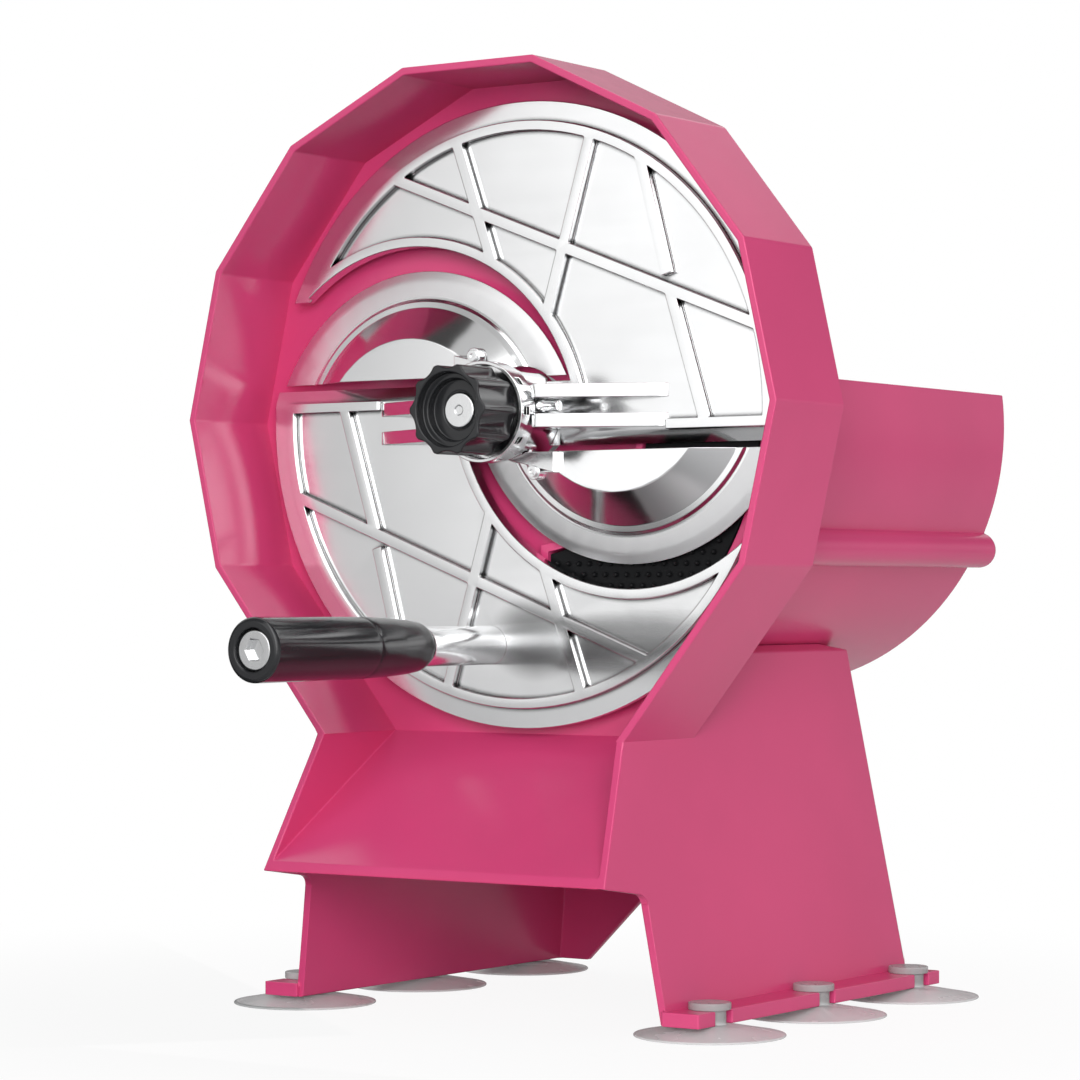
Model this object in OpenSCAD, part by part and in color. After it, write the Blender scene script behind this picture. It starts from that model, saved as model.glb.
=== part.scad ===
// Hand-cranked rotary slicer with a turning slicing disc, a feed hopper behind it and a stand.
// Millimetres, +Z up, front towards -Y. The origin lies on the table, under the middle of the box.
// Inside the modules the axle is the line X = 0, Z = 0, and Y = 0 is the drum's front rim.

/* [Drum housing] */
// Radius of the drum's outer corners
drum_r = 140; // [132:1:155]
// Depth of the drum from its front rim to the rear of its back plate
drum_depth = 51; // [49:1:60]
// Thickness of the drum's and the stand's walls
wall = 3; // [2.5:0.25:4]
// Thickness of the drum's back plate
back_t = 3.5; // [3:0.25:4.5]
// How far the drum's walls run down past its lowest corners, to the stand
waist_drop = 17.9; // [12:0.1:24]

/* [Stand] */
// Height of the axle above the table
axle_h = 238.5; // [225:0.5:270]
// Half of the width across the legs at the foot flanges
foot_half = 88.5; // [84:0.5:95]
// How far the chute's lip stands in front of the drum's rim
chute_reach = 25; // [15:0.5:35]
// Drop from the waist to the underside of the chute's lip
chute_drop = 53.5; // [40:0.5:60]
// Thickness of the chute's floor, measured upright
chute_t = 2.5; // [2:0.25:4]
// Height of the notch between the chute's lip and the leg
notch_drop = 4; // [2:0.5:8]
// Depth of the leg's front edge behind the rim, at the notch
leg_front_y = 3.3; // [0:0.1:8]
// Radius of the corner between the leg's front edge and the chute's lip
notch_round = 5; // [2:0.5:8]
// How much further back the leg's front edge stands at the foot
leg_front_lean = 3.2; // [0:0.1:6]
// Height of the stand's box above the waist
box_rise = 40; // [36:0.5:46]
// Length of the level part of the box top behind the back plate
box_level = 84; // [70:1:100]
// Length of the whole box behind the back plate, at its top
box_len = 129; // [120:1:140]
// Drop of the box top towards its rear corner
box_fall = 7.5; // [4:0.5:12]
// How far the box's sloping shoulder draws in towards the trough
shoulder_w = 12; // [6:0.5:14]
// How much further back the rear panel stands at the foot
rear_lean = 15.5; // [8:0.5:22]
// Half of the width of the rear arch at the foot
arch_half = 72; // [64:1:74]
// Half of the width of the rear arch at its top
arch_top_half = 29; // [20:1:40]
// Height of the rear arch above the foot
arch_h = 39; // [30:1:50]
// Width of the foot flange outside the leg
flange_w = 15; // [14.5:0.5:20]
// Thickness of the foot flange
flange_t = 5.5; // [4:0.25:7]
// Distance of the flange's front end behind the leg's front edge
flange_set = 2; // [0:0.5:4]

/* [Suction cups] */
// Radius of a suction cup's rim
cup_r = 29; // [25:0.5:32]
// Height of the flange above the table, which the cup's bell fills
cup_h = 4.5; // [4:0.25:7]
// Radius of the cup's head on top of the flange
cup_head_r = 8.2; // [7:0.1:9]
// Thickness of the cup's head
cup_head_t = 2.8; // [2:0.1:4]
// Width of the cup's neck in its open slot
cup_neck_w = 11.5; // [9:0.25:12]
// Distance of the cup's axis in from the flange's outer edge
cup_inset = 6.4; // [6:0.1:7.5]
// Distance of the front cup behind the flange's front end
cup_front = 18.4; // [15:0.1:25]
// Distance of the rear cup in front of the flange's rear end
cup_back = 15.6; // [12:0.1:24]

/* [Feed hopper] */
// Distance of the trough's round wall inside the slicing disc's edge
hopper_inset = 17; // [16:0.5:21]
// Inner radius of the throat's arc round the bearing
throat_r = 55.5; // [52:0.5:58]
// Distance of the trough's flat side wall from the axle
hopper_left = 9; // [6:0.5:12]
// Height of the feed opening above the axle
throat_top = 7; // [5:0.5:8]
// How far the trough's sides stand above the feed opening
hopper_rise = 6.5; // [3.5:0.25:9]
// Thickness of the hopper's walls
hopper_wall = 3.5; // [3:0.25:4]
// Length of the trough behind the back plate
hopper_len = 189; // [180:1:195]
// Length of the closed throat behind the back plate
throat_len = 11; // [9:0.5:14]
// Width of the hopper's flange round the throat
hopper_flange_w = 8; // [7.5:0.25:9]
// Thickness of the hopper's flange
hopper_flange_t = 3; // [2.5:0.25:4]
// Outer radius of the guide tube on the trough
guide_tube_r = 7.5; // [7.2:0.1:8]
// Radius of the guide rod
guide_rod_r = 5; // [4.6:0.1:5.2]
// Angle of the guide tube below the level of the axle
guide_angle = 27.8; // [24:0.1:32]
// Distance of the guide tube's centre outside the trough's inner face
guide_offset = 5; // [4.5:0.1:5.5]
// How far the guide tube's end reaches past the trough
guide_past = 2.5; // [0:0.25:4]
// Width of the slot that the pusher's arm runs in
guide_slot_w = 4.6; // [4:0.1:5.5]

/* [Slicing disc] */
// Gap between the disc's edge and the drum's flat walls
disc_gap = 8.5; // [6.5:0.25:11]
// Thickness of the disc's plate
disc_t = 3; // [2.5:0.25:3.5]
// Gap between the disc's back and the drum's back plate
disc_set = 6.5; // [6:0.25:8]
// Width of the flat band round the disc's edge
band_w = 8; // [6:0.25:10]
// Width of the raised bead inside the band
bead_w = 4; // [3:0.25:5]
// Height of the beads and ribs on the disc's face
bead_h = 3; // [2:0.25:3.5]
// Width of a straight rib on the disc's face
rib_w = 4.6; // [3.5:0.1:6]
// How far each crescent opening runs past the axle
crescent_end = 29.5; // [28:0.25:32]
// How far a crescent's circle runs out past the disc's edge, along its straight side
crescent_out = 6.3; // [4:0.1:9]
// Distance of a crescent's centre above or below the axle
crescent_z = 13; // [11:0.25:14]
// Height of the disc's straight edges beside the axle
straight_z = 12.8; // [12:0.1:13.2]
// Height above or below the axle at which the disc's two tips end
tip_z = 49.5; // [44:0.5:56]
// Width of the thinned lip along a straight edge
lip_w = 5.3; // [4:0.1:6.5]
// Thickness of the lip at the straight edge
lip_t = 1.2; // [1:0.1:1.6]

/* [Disc hub] */
// Outer radius of the disc's hub
hub_r = 18.5; // [18:0.1:19]
// Distance of the hub's shoulder in front of the plate
hub_h = 23; // [22:0.25:24]
// Radius of the hollow inside the hub
hub_bore_r = 14.5; // [14.2:0.1:14.8]
// Thickness of the hub's front wall
hub_wall = 3.5; // [3:0.1:4]
// Radius of the nose in front of the hub
nose_r = 12; // [10:0.25:13]
// Length of the nose in front of the hub
nose_h = 5.7; // [5:0.1:7]
// Reach of the hub's fins from the axle
fin_reach = 69.5; // [55:0.5:72]
// Thickness of one fin
fin_t = 5.4; // [4:0.1:6]
// Gap between a hub's two fins
fin_gap = 6.2; // [6:0.1:7]
// Height of the fins' middle above the axle
fin_z = 2.1; // [1:0.1:2.6]
// Outer radius of the index ring
ring_r = 20; // [19.7:0.1:21]
// Length of the index ring
ring_l = 9.4; // [9:0.1:9.5]
// Number of windows in the index ring
ring_windows = 10; // [6:1:12]
// Travel of the disc away from the blades, which sets the slice
slice_travel = 8; // [6:0.25:8]

/* [Blades] */
// How much smaller a blade's radius is than its crescent's
blade_gap = 4.5; // [4:0.25:6]
// How much nearer to the axle a blade's centre lies than its crescent's
blade_shift = 2.5; // [1:0.25:4]
// How much further from its straight side a blade's centre lies than its crescent's
blade_lift = 5.2; // [4:0.1:6]
// Thickness of the blade's sheet
blade_t = 1.6; // [1.2:0.1:1.8]
// Gap between the blade's straight side and the disc's straight edge
chord_gap = 2.5; // [2.2:0.1:3.2]
// Width of the flat cutting band round the dish that is pressed into a blade
dish_band = 18; // [17:0.25:21]
// Width of the dish's sloping side
dish_slope = 15.5; // [13:0.25:18]
// How much nearer to the axle the dish's centre lies than the blade's
dish_shift = 0.7; // [0:0.1:2]
// How much nearer to the straight side the dish's centre lies than the blade's
dish_drop = 5.5; // [4:0.1:6.5]
// Depth of the dish
dish_h = 10.4; // [9.6:0.1:10.6]

/* [Spindle and bearings] */
// Radius of the spindle in its bushes
spindle_r = 8; // [7.5:0.1:8.5]
// Radius of the spindle's front part, under the hub and knob
spindle_front_r = 6; // [5.5:0.1:6.4]
// Radial clearance of the running fits
fit = 0.05; // [0.02:0.01:0.09]
// Thickness of a bush's wall
bush_t = 3; // [2.5:0.25:3.5]
// Length of a bush
bush_l = 20; // [16:0.5:22]
// Thickness of a bush's flange
bush_flange_t = 1.5; // [1.2:0.1:1.8]
// Outer radius of the bearing tube
bearing_r = 17; // [16:0.25:18]
// Length of the bearing tube behind the back plate
bearing_len = 53; // [46:0.5:60]
// Radius of the bearing housing's flange
bearing_flange_r = 34; // [32:0.5:36]
// Thickness of the bearing housing's flange
bearing_flange_t = 5; // [4:0.25:6]
// Outer radius of the blade carrier's hub
carrier_r = 13.8; // [13.4:0.1:13.8]
// Thickness of the blade carrier's arms
carrier_t = 3.6; // [3:0.1:3.6]

/* [Adjusting knob] */
// Outer radius of the knob
knob_r = 18; // [16:0.25:19]
// Length of the knob
knob_l = 22; // [20:0.25:24]
// Number of flutes round the knob
knob_flutes = 10; // [8:1:12]
// Radius of a flute
flute_r = 9; // [7:0.25:10]
// Depth of a flute
flute_depth = 1.8; // [1:0.1:2.4]
// Radius of the hollow in the knob's front
knob_cup_r = 14.5; // [12.5:0.1:14.8]
// Depth of the metal cap inside the knob
knob_cap_depth = 9; // [8:0.1:10]
// Radius of the metal cap
knob_cap_r = 7.5; // [7:0.1:8.5]

/* [Crank handle] */
// Distance of the handle inside the disc's edge
handle_inset = 31.9; // [27:0.1:34]
// Angle of the handle beside the line straight down from the axle
handle_angle = 9.3; // [0:0.1:20]
// Radius of the handle's metal stem
stem_r = 7.8; // [7.2:0.1:9]
// Radius of the bar that the grip turns on
grip_bar_r = 5; // [4.5:0.1:5.5]
// Length of the stem that shows between the disc and the grip
stem_l = 48; // [40:0.5:56]
// Length of the grip
grip_l = 103.5; // [96:0.5:116]
// Radius of the grip
grip_r = 12.2; // [11.5:0.1:14]
// Length of the grip's collar, next to the stem
collar_l = 40; // [34:0.5:46]
// Radius of the metal screw in the grip's end
grip_screw_r = 7.8; // [7:0.1:8.2]

/* [Food pusher] */
// Thickness of the pusher's block
pusher_t = 12; // [10:0.25:14]
// Gap between the pusher's edge and the hopper's walls
pusher_gap = 0.8; // [0.6:0.05:1.2]
// Depth of the pusher's face behind the slicing disc, when it is fully home
pusher_clear = 3; // [2.75:0.05:3.5]
// Length of the guide rod
guide_rod_l = 68; // [60:0.5:76]
// Radius of the pusher's hand bar
hand_bar_r = 8; // [7:0.25:9]
// Length of the pusher's hand bar
hand_bar_l = 44; // [38:1:48]
// Distance of the hand bar behind the pusher's block
hand_reach = 52; // [46:1:60]

/* [Hidden] */
$fn = 96;

// Overrun of every cut past the face that it opens
over = 1;
// Gap between neighbouring pieces that don't touch
gap = 0.3;
// Clearance of a piece that is pressed or screwed into its seat
seat = 0.02;

// Drum
drum_sides = 14;
drum_step = 360 / drum_sides;
last_corner = drum_sides / 2 - 2;
drum_r_in = drum_r - wall / cos(drum_step / 2);
plate_y = drum_depth - back_t;
disc_back = plate_y - disc_set;
disc_y = disc_back - disc_t;
function corner(i, r) = [r * sin((i + 0.5) * drum_step), r * cos((i + 0.5) * drum_step)];
function edge_slope(r) = let (a = corner(last_corner - 1, r), b = corner(last_corner, r))
    (a[0] - b[0]) / (a[1] - b[1]);
function edge_x(r, z) = let (b = corner(last_corner, r)) b[0] + (z - b[1]) * edge_slope(r);
waist_z = corner(last_corner, drum_r)[1] - waist_drop;
waist_half = edge_x(drum_r, waist_z);
disc_r = drum_r * cos(drum_step / 2) - wall - disc_gap;

// Stand
foot_z = cup_h - axle_h;
lip_z = waist_z - chute_drop;
notch_z = lip_z - notch_drop;
foot_front_y = leg_front_y + leg_front_lean;
box_top_z = waist_z + box_rise;
box_level_y = drum_depth + box_level;
box_rear_y = drum_depth + box_len;
box_corner_z = box_top_z - box_fall;
foot_rear_y = box_rear_y + rear_lean;
flange_y = foot_front_y - flange_set;
flange_x = foot_half + flange_w;
lean = (foot_half - waist_half) / (waist_z - foot_z);
wall_x = wall * sqrt(1 + lean * lean);
function half_at(z) = waist_half + (waist_z - z) * lean;
chute_slope = (chute_drop - chute_t) / (plate_y + chute_reach);
function chute_top(y) = waist_z - (plate_y - y) * chute_slope;

// Cups
cup_x = flange_x - cup_inset;
cup_pitch = (foot_rear_y - flange_y - cup_front - cup_back) / 2;
function cup_y(i) = flange_y + cup_front + i * cup_pitch;
slot_gap = 0.2;
cup_rim_w = 1.5;
cup_edge_t = 0.8;
cup_roof_t = 1.5;

// Hopper
hopper_rear = drum_depth + hopper_len;
guide_rear = hopper_rear + guide_past;
hopper_r = disc_r - hopper_inset;
hopper_top = throat_top + hopper_rise;
throat_front = disc_back + 2.2 * gap + hopper_wall / 2;
throat_rear = drum_depth + throat_len;
guide_c = hopper_r + guide_offset;
guide_x = guide_c * cos(guide_angle);
guide_z = -guide_c * sin(guide_angle);
guide_bore_r = guide_rod_r + fit;
guide_end_t = 6;
guide_round = 4;
hopper_edge = hopper_wall + hopper_flange_w;
hopper_screw_c = hopper_r + hopper_wall + hopper_flange_w / 2;
hopper_screw_angles = [-3, -45, -66, -84];
hopper_screw_in = throat_r - hopper_wall - hopper_flange_w / 2;
hopper_screw_in_angles = [-20, -62];
screw_r = 2;
screw_head_r = 3.6;
screw_head_t = 2.4;
screw_bite = 2.5;
hex_af_share = 0.55;

// Disc, hub and knob, from back to front
hub_y = disc_y - hub_h;
nose_y = hub_y - nose_h;
window_half = 9.3;
arm_half = window_half - gap;
carrier_set = 12.8;
carrier_y = disc_y - carrier_set;
carrier_back = plate_y - bush_flange_t + gap * 1.5;
window_y = carrier_y - 2 * gap;
spindle_past = 4.3;
spindle_reach = slice_travel + spindle_past;
spindle_front_y = nose_y - spindle_reach;
knob_back = nose_y - gap;
knob_front = knob_back - knob_l;
cap_y = knob_front + knob_cap_depth;
cap_t = 0.9;
insert_y = cap_y + cap_t;
insert_r = 9;
plunger_r = fin_gap / 2 - slot_gap;
plunger_tip = 17;
plunger_end = 29;
plunger_set = 16;
plunger_y = disc_y - plunger_set;
fin_rise = hub_h - 2 * gap;
fin_nose = 3.5;
fin_places = [fin_z + fin_gap / 2, fin_z - fin_gap / 2 - fin_t];
ring_back = nose_y + ring_l;
window_w = 3.2;
window_l = 3.6;

// Crescents, whose circle passes through the two ends that their sizes give
crescent_far = disc_r + crescent_out;
crescent_x = (pow(crescent_far, 2) - pow(crescent_end, 2) + pow(crescent_z + straight_z, 2))
    / (2 * (crescent_far + crescent_end));
crescent_r = crescent_x + crescent_end;

// Blades
blade_set = 0.2;
blade_back = disc_back - blade_set;
blade_y = blade_back - blade_t;
dish_y = blade_y - dish_h;
blade_r = crescent_r - blade_gap;
blade_x = crescent_x - blade_shift;
blade_z = crescent_z + blade_lift;
chord_z = straight_z + chord_gap;
dish_r = blade_r - dish_band;
dish_flat_r = dish_r - dish_slope;
dish_x = blade_x - dish_shift;
dish_z = blade_z - dish_drop;
bevel_w = 5;
bevel_t = 0.4;
hub_clear = 0.7;
dish_bead = 1.2;
blade_screw_x = 14.4;
blade_screw_z = 23.3;
ear_r = 3.2;
arm_root = 16;
arm_x = 3;
arm_z = 18.6;
arm_reach = 24;
arm_low = 23.8;
blade_screw_r = 1.5;
blade_screw_head_r = 2.3;
blade_screw_head_t = 1.2;

// Bearings
bearing_y = plate_y + bush_flange_t;
bearing_end = drum_depth + bearing_len;
bush_r = spindle_r + bush_t;
bush_flange_r = bush_r + bush_t + 1 * gap;
bearing_screw_in = 6.5;
bearing_screw_c = bearing_flange_r - bearing_screw_in;
gusset_t = 4;
gusset_h = 22;
rear_face = bearing_end + bush_flange_t;
nut_t = 7;
nut_r = 11;
thread_past = 2;
rear_washer_t = 1.5;
spindle_end = rear_face + rear_washer_t + nut_t + thread_past;
cap_wall = 2;
cap_skirt = 8;
cap_inner_r = bearing_r + seat;
pin_r = 2;
pin_set = 2;
pin_y = disc_y - pin_set;

// Spring
spring_wire = 1.4;
spring_clear = 0.1;
spring_turns = 2.75;
spring_sides = 6;
spring_rings = 8;
spring_r = (spindle_front_r + hub_bore_r) / 2;

// Handle
handle_c = disc_r - handle_inset;
handle_x = handle_c * sin(handle_angle);
handle_z = handle_c * cos(handle_angle);
grip_back = disc_y - stem_l;
grip_front = grip_back - grip_l;
grip_bore_r = grip_bar_r + fit;
stem_screw_r = 4;
stem_screw_head_r = 7;
stem_screw_l = 22;
grip_neck = 1.2;
grip_groove = 0.35;
// The collar's outline from the stem on, in shares of its length and of the grip's radius
collar_shares = [
    [0, 0.5], [0.012, 0.6], [0.04, 0.72], [0.11, 0.81], [0.27, 0.87], [0.58, 0.935], [0.94, 0.97],
];
grip_socket = 5;
grip_screw_t = 4;

// Pusher
pusher_y = disc_back + pusher_clear;
pusher_back = pusher_y + pusher_t;
guide_slot_l = hopper_rear - 2 * guide_end_t - pusher_back;
plate_t = 3;
carriage_inset = 6;
arm_len = 40;
rod_bury = 2;
rod_front = pusher_back - rod_bury;
hand_clear = 3;
hand_c = (hopper_r + throat_r) / 2;
hand_angle = guide_angle + asin((hand_bar_l / 2 + 2 * plate_t + hand_clear) / hand_c);
post_r = 5;
hand_post_share = 0.32;
hand_z_mid = -hand_c * sin(hand_angle);
hand_x_mid = hand_c * cos(hand_angle);
pusher_screw_angles = [-10, -hand_angle, -73];

// Place of the origin: the middle of the whole length, on the table
mid_y = (grip_front + guide_rear) / 2;

// Everything is drawn round the axle and then set at its height
module placed() { translate([0, -mid_y, axle_h]) children(); }
// A flat X-Z shape made solid from y0 to y1
module slab(y0, y1) {
    translate([0, y1, 0]) rotate([90, 0, 0]) linear_extrude(height = y1 - y0) children();
}
// A flat Y-Z shape made solid across the whole width
module across(half) {
    translate([-half, 0, 0]) rotate([90, 0, 90]) linear_extrude(height = 2 * half) children();
}
// A round bar along Y
module bar_y(r, y0, y1) { translate([0, y0, 0]) rotate([-90, 0, 0]) cylinder(r = r, h = y1 - y0); }
// A turned shape round Y, from points of radius and depth
module turned(points) { rotate([-90, 0, 0]) rotate_extrude() polygon(points); }
// A shape and its copy half a turn round the axle
module both_halves() {
    children();
    rotate([0, 180, 0]) children();
}

module drum_shape(r, z_low) {
    polygon(concat(
        [[edge_x(r, z_low), z_low]],
        [for (i = [last_corner:-1:0]) corner(i, r)],
        [for (i = [0:last_corner]) [-corner(i, r)[0], corner(i, r)[1]]],
        [[-edge_x(r, z_low), z_low]]
    ));
}

// The kidney shape of the feed opening
module kidney(r_out, r_in, left, top) {
    intersection() {
        difference() {
            circle(r = r_out);
            circle(r = r_in);
        }
        translate([left, -r_out - over]) square([r_out - left + over, top + r_out + over]);
    }
}
module hopper_screw_places() {
    for (a = hopper_screw_angles)
        translate([hopper_screw_c * cos(a), 0, hopper_screw_c * sin(a)]) children();
    for (a = hopper_screw_in_angles)
        translate([hopper_screw_in * cos(a), 0, hopper_screw_in * sin(a)]) children();
}
module bearing_screw_places() {
    for (i = [0:3]) rotate([0, 45 + 90 * i, 0]) translate([bearing_screw_c, 0, 0]) children();
}
module throat_hole(grow) {
    kidney(hopper_r + hopper_wall + grow, throat_r - hopper_wall - grow,
        hopper_left - hopper_wall - grow, throat_top + hopper_wall + grow);
}

module drum_housing() {
    color([0.78, 0.29, 0.47]) placed() difference() {
        slab(0, drum_depth) drum_shape(drum_r, waist_z);
        slab(-over, drum_depth + over) drum_shape(drum_r_in, waist_z - over);
    }
}
// The plate that closes the drum's back and carries the hopper and the bearing
module back_plate() {
    color([0.76, 0.28, 0.46]) placed() difference() {
        slab(plate_y, drum_depth) drum_shape(drum_r_in, waist_z);
        slab(plate_y - over, drum_depth + over) throat_hole(slot_gap);
        bar_y(bearing_r + fit, plate_y - over, drum_depth + over);
        hopper_screw_places() bar_y(screw_r + seat, drum_depth - screw_bite, drum_depth + over);
        bearing_screw_places() bar_y(screw_r + seat, drum_depth - screw_bite, drum_depth + over);
    }
}

function toward(a, b) = (b - a) / norm(b - a);
// A rounded inner corner of an outline at b, between its points a and c
module fillet(a, b, c, r) {
    u = toward(b, a);
    v = toward(b, c);
    half = acos(u * v) / 2;
    reach = r / tan(half);
    difference() {
        polygon([b, b + u * reach, b + v * reach]);
        translate(b + toward([0, 0], u + v) * r / sin(half)) circle(r = r);
    }
}
module stand_side() {
    notch = [leg_front_y, notch_z];
    lip = [-chute_reach, lip_z];
    toe = [foot_front_y, foot_z];
    polygon([
        lip, [0, waist_z], [drum_depth, waist_z], [drum_depth, box_top_z], [box_level_y, box_top_z],
        [box_rear_y, box_corner_z], [foot_rear_y, foot_z], toe, notch,
    ]);
    fillet(lip, notch, toe, notch_round);
}
// Outline across the stand, or across its hollow when it is drawn in by inset and drop
module stand_section(inset, drop, low) {
    top = half_at(box_top_z) - shoulder_w - inset;
    corner = half_at(box_corner_z) - inset;
    foot = half_at(low) - inset;
    polygon([
        [top, box_top_z + over], [top, box_top_z - drop], [corner, box_corner_z - drop], [foot, low],
        [-foot, low], [-corner, box_corner_z - drop], [-top, box_top_z - drop],
        [-top, box_top_z + over],
    ]);
}
module chute_space() {
    front = -chute_reach - over;
    polygon([
        [plate_y, waist_z], [plate_y, waist_z + over], [front, waist_z + over],
        [front, chute_top(front)],
    ]);
}
module box_space() {
    front = -chute_reach - over;
    low = foot_z - over;
    polygon([
        [front, chute_top(front) - chute_t], [drum_depth, chute_top(drum_depth) - chute_t],
        [drum_depth - over, box_top_z - wall], [box_level_y, box_top_z - wall],
        [box_rear_y - wall, box_corner_z - wall], [foot_rear_y - wall, low], [front, low],
    ]);
}
module cup_slot() {
    half = cup_neck_w / 2 + slot_gap;
    translate([0, 0, foot_z - over]) {
        cylinder(r = half, h = flange_t + 2 * over);
        translate([0, -half, 0]) cube([cup_inset + over, 2 * half, flange_t + 2 * over]);
    }
}
module stand_flange() {
    difference() {
        translate([foot_half - wall / 2, flange_y, foot_z])
            cube([flange_w + wall / 2, foot_rear_y - flange_y, flange_t]);
        for (i = [0:2]) translate([cup_x, cup_y(i), 0]) cup_slot();
    }
}

module base_stand() {
    wide = foot_half + over;
    back = foot_rear_y + over;
    color([0.74, 0.27, 0.45]) placed() {
        difference() {
            intersection() {
                across(wide) stand_side();
                slab(-chute_reach - over, back) stand_section(0, 0, foot_z);
            }
            intersection() {
                across(wide) chute_space();
                slab(-chute_reach - 2 * over, back) stand_section(wall_x, wall, foot_z);
            }
            intersection() {
                across(wide) box_space();
                slab(-chute_reach - 2 * over, back)
                    stand_section(wall_x, wall, foot_z - 2 * over);
            }
            slab(box_level_y, back) polygon([
                [-arch_half, foot_z - over], [arch_half, foot_z - over],
                [arch_top_half, foot_z + arch_h], [-arch_top_half, foot_z + arch_h],
            ]);
            slab(drum_depth + over / 2, back) trough_outline(gap);
            slab(drum_depth - over, drum_depth + hopper_flange_t + screw_head_t + gap)
                flange_outline(gap);
        }
        stand_flange();
        mirror([1, 0, 0]) stand_flange();
    }
}

module suction_cup(side, i) {
    roof = cup_h - cup_roof_t;
    round_r = cup_neck_w / 2;
    color([0.72, 0.74, 0.75, 0.8]) placed() mirror([side < 0 ? 1 : 0, 0, 0])
        translate([cup_x, cup_y(i), foot_z - cup_h]) {
            rotate_extrude() polygon([
                [0, roof], [cup_head_r, roof], [cup_r - cup_rim_w, 0], [cup_r, 0],
                [cup_r, cup_edge_t], [cup_head_r, cup_h], [0, cup_h],
            ]);
            translate([0, 0, roof]) cylinder(r = round_r, h = flange_t + cup_roof_t + over / 2);
            translate([cup_inset - round_r, 0, roof])
                cylinder(r = round_r, h = flange_t + cup_roof_t + over / 2);
            translate([0, -round_r, roof])
                cube([cup_inset - round_r, cup_neck_w, flange_t + cup_roof_t + over / 2]);
            translate([0, 0, cup_h + flange_t]) cylinder(r = cup_head_r, h = cup_head_t);
        }
}
module cup_front_left() { suction_cup(-1, 0); }
module cup_middle_left() { suction_cup(-1, 1); }
module cup_rear_left() { suction_cup(-1, 2); }
module cup_front_right() { suction_cup(1, 0); }
module cup_middle_right() { suction_cup(1, 1); }
module cup_rear_right() { suction_cup(1, 2); }

// The trough's outside, filled, with room around it
module trough_outline(grow) {
    intersection() {
        union() {
            circle(r = hopper_r + hopper_wall + grow);
            translate([guide_x, guide_z]) circle(r = guide_tube_r + grow);
        }
        translate([hopper_left - hopper_wall - grow, -2 * hopper_r])
            square([2 * hopper_r, 2 * hopper_r + hopper_top]);
    }
}
module flange_outline(grow) {
    union() {
        kidney(hopper_r + hopper_edge + grow, throat_r - hopper_edge - grow,
            hopper_left - hopper_edge - grow, throat_top + hopper_edge + grow);
        translate([guide_x, guide_z]) circle(r = guide_tube_r + grow);
    }
}
module trough_walls() {
    difference() {
        intersection() {
            circle(r = hopper_r + hopper_wall);
            translate([hopper_left - hopper_wall, -2 * hopper_r])
                square([2 * hopper_r, 2 * hopper_r + hopper_top]);
        }
        intersection() {
            circle(r = hopper_r);
            translate([hopper_left, -2 * hopper_r]) square([2 * hopper_r, 4 * hopper_r]);
        }
        translate([-hopper_r, hopper_wall - throat_r]) square([hopper_r + hopper_left + over, hopper_r]);
    }
}
module guide_tube() {
    straight = guide_rear - guide_round;
    translate([guide_x, 0, guide_z]) {
        bar_y(guide_tube_r, drum_depth, straight);
        translate([0, straight - over, 0]) rotate([-90, 0, 0]) rotate_extrude() {
            square([guide_tube_r, over]);
            square([guide_tube_r - guide_round, guide_round + over]);
            translate([guide_tube_r - guide_round, over]) intersection() {
                circle(r = guide_round);
                square([guide_round, guide_round]);
            }
        }
    }
}

module feed_hopper() {
    color([0.78, 0.29, 0.47]) placed() difference() {
        union() {
            slab(drum_depth, hopper_rear) trough_walls();
            slab(throat_front, throat_rear) throat_hole(0);
            slab(drum_depth, drum_depth + hopper_flange_t) flange_outline(0);
            difference() {
                guide_tube();
                bar_y(hopper_r + hopper_wall / 2, drum_depth - over, guide_rear + over);
            }
        }
        slab(throat_front - over, throat_rear + over)
            kidney(hopper_r, throat_r, hopper_left, throat_top);
        translate([guide_x, 0, guide_z])
            bar_y(guide_bore_r, rod_front - over, hopper_rear - guide_end_t);
        rotate([0, guide_angle, 0])
            translate([hopper_r - hopper_wall, pusher_back - 2 * gap, -guide_slot_w / 2])
            cube([guide_offset + hopper_wall, guide_slot_l, guide_slot_w]);
        hopper_screw_places()
            bar_y(screw_r + seat, drum_depth - over, drum_depth + hopper_flange_t + over);
    }
}

// A screw that points forward, with its head behind the face at y
module pan_screw(r, length, head_r, head_t, y) {
    difference() {
        union() {
            bar_y(r, y - length, y);
            bar_y(head_r, y, y + head_t);
        }
        translate([0, y + head_t / 2, 0]) rotate([-90, 0, 0])
            cylinder(r = head_r * hex_af_share, h = head_t, $fn = 6);
    }
}
module hopper_screws() {
    y = drum_depth + hopper_flange_t;
    color("silver") placed() hopper_screw_places()
        pan_screw(screw_r, hopper_flange_t + screw_bite, screw_head_r, screw_head_t, y);
}

module gusset() {
    low = bearing_r - over;
    high = bearing_flange_r - over;
    start = drum_depth + bearing_flange_t - over;
    translate([0, 0, -gusset_t / 2]) linear_extrude(height = gusset_t)
        polygon([[low, start], [high, start], [low, start + gusset_h]]);
}
module bearing_housing() {
    color([0.66, 0.68, 0.7]) placed() difference() {
        union() {
            bar_y(bearing_r, bearing_y, bearing_end);
            bar_y(bearing_flange_r, drum_depth, drum_depth + bearing_flange_t);
            for (i = [0:3]) rotate([0, 90 * i, 0]) gusset();
        }
        bar_y(bush_r + seat, bearing_y - over, bearing_end + over);
        bearing_screw_places()
            bar_y(screw_r + seat, drum_depth - over, drum_depth + bearing_flange_t + over);
    }
}
module bearing_screws() {
    y = drum_depth + bearing_flange_t;
    color("silver") placed() bearing_screw_places()
        pan_screw(screw_r, bearing_flange_t + screw_bite, screw_head_r, screw_head_t, y);
}
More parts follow.
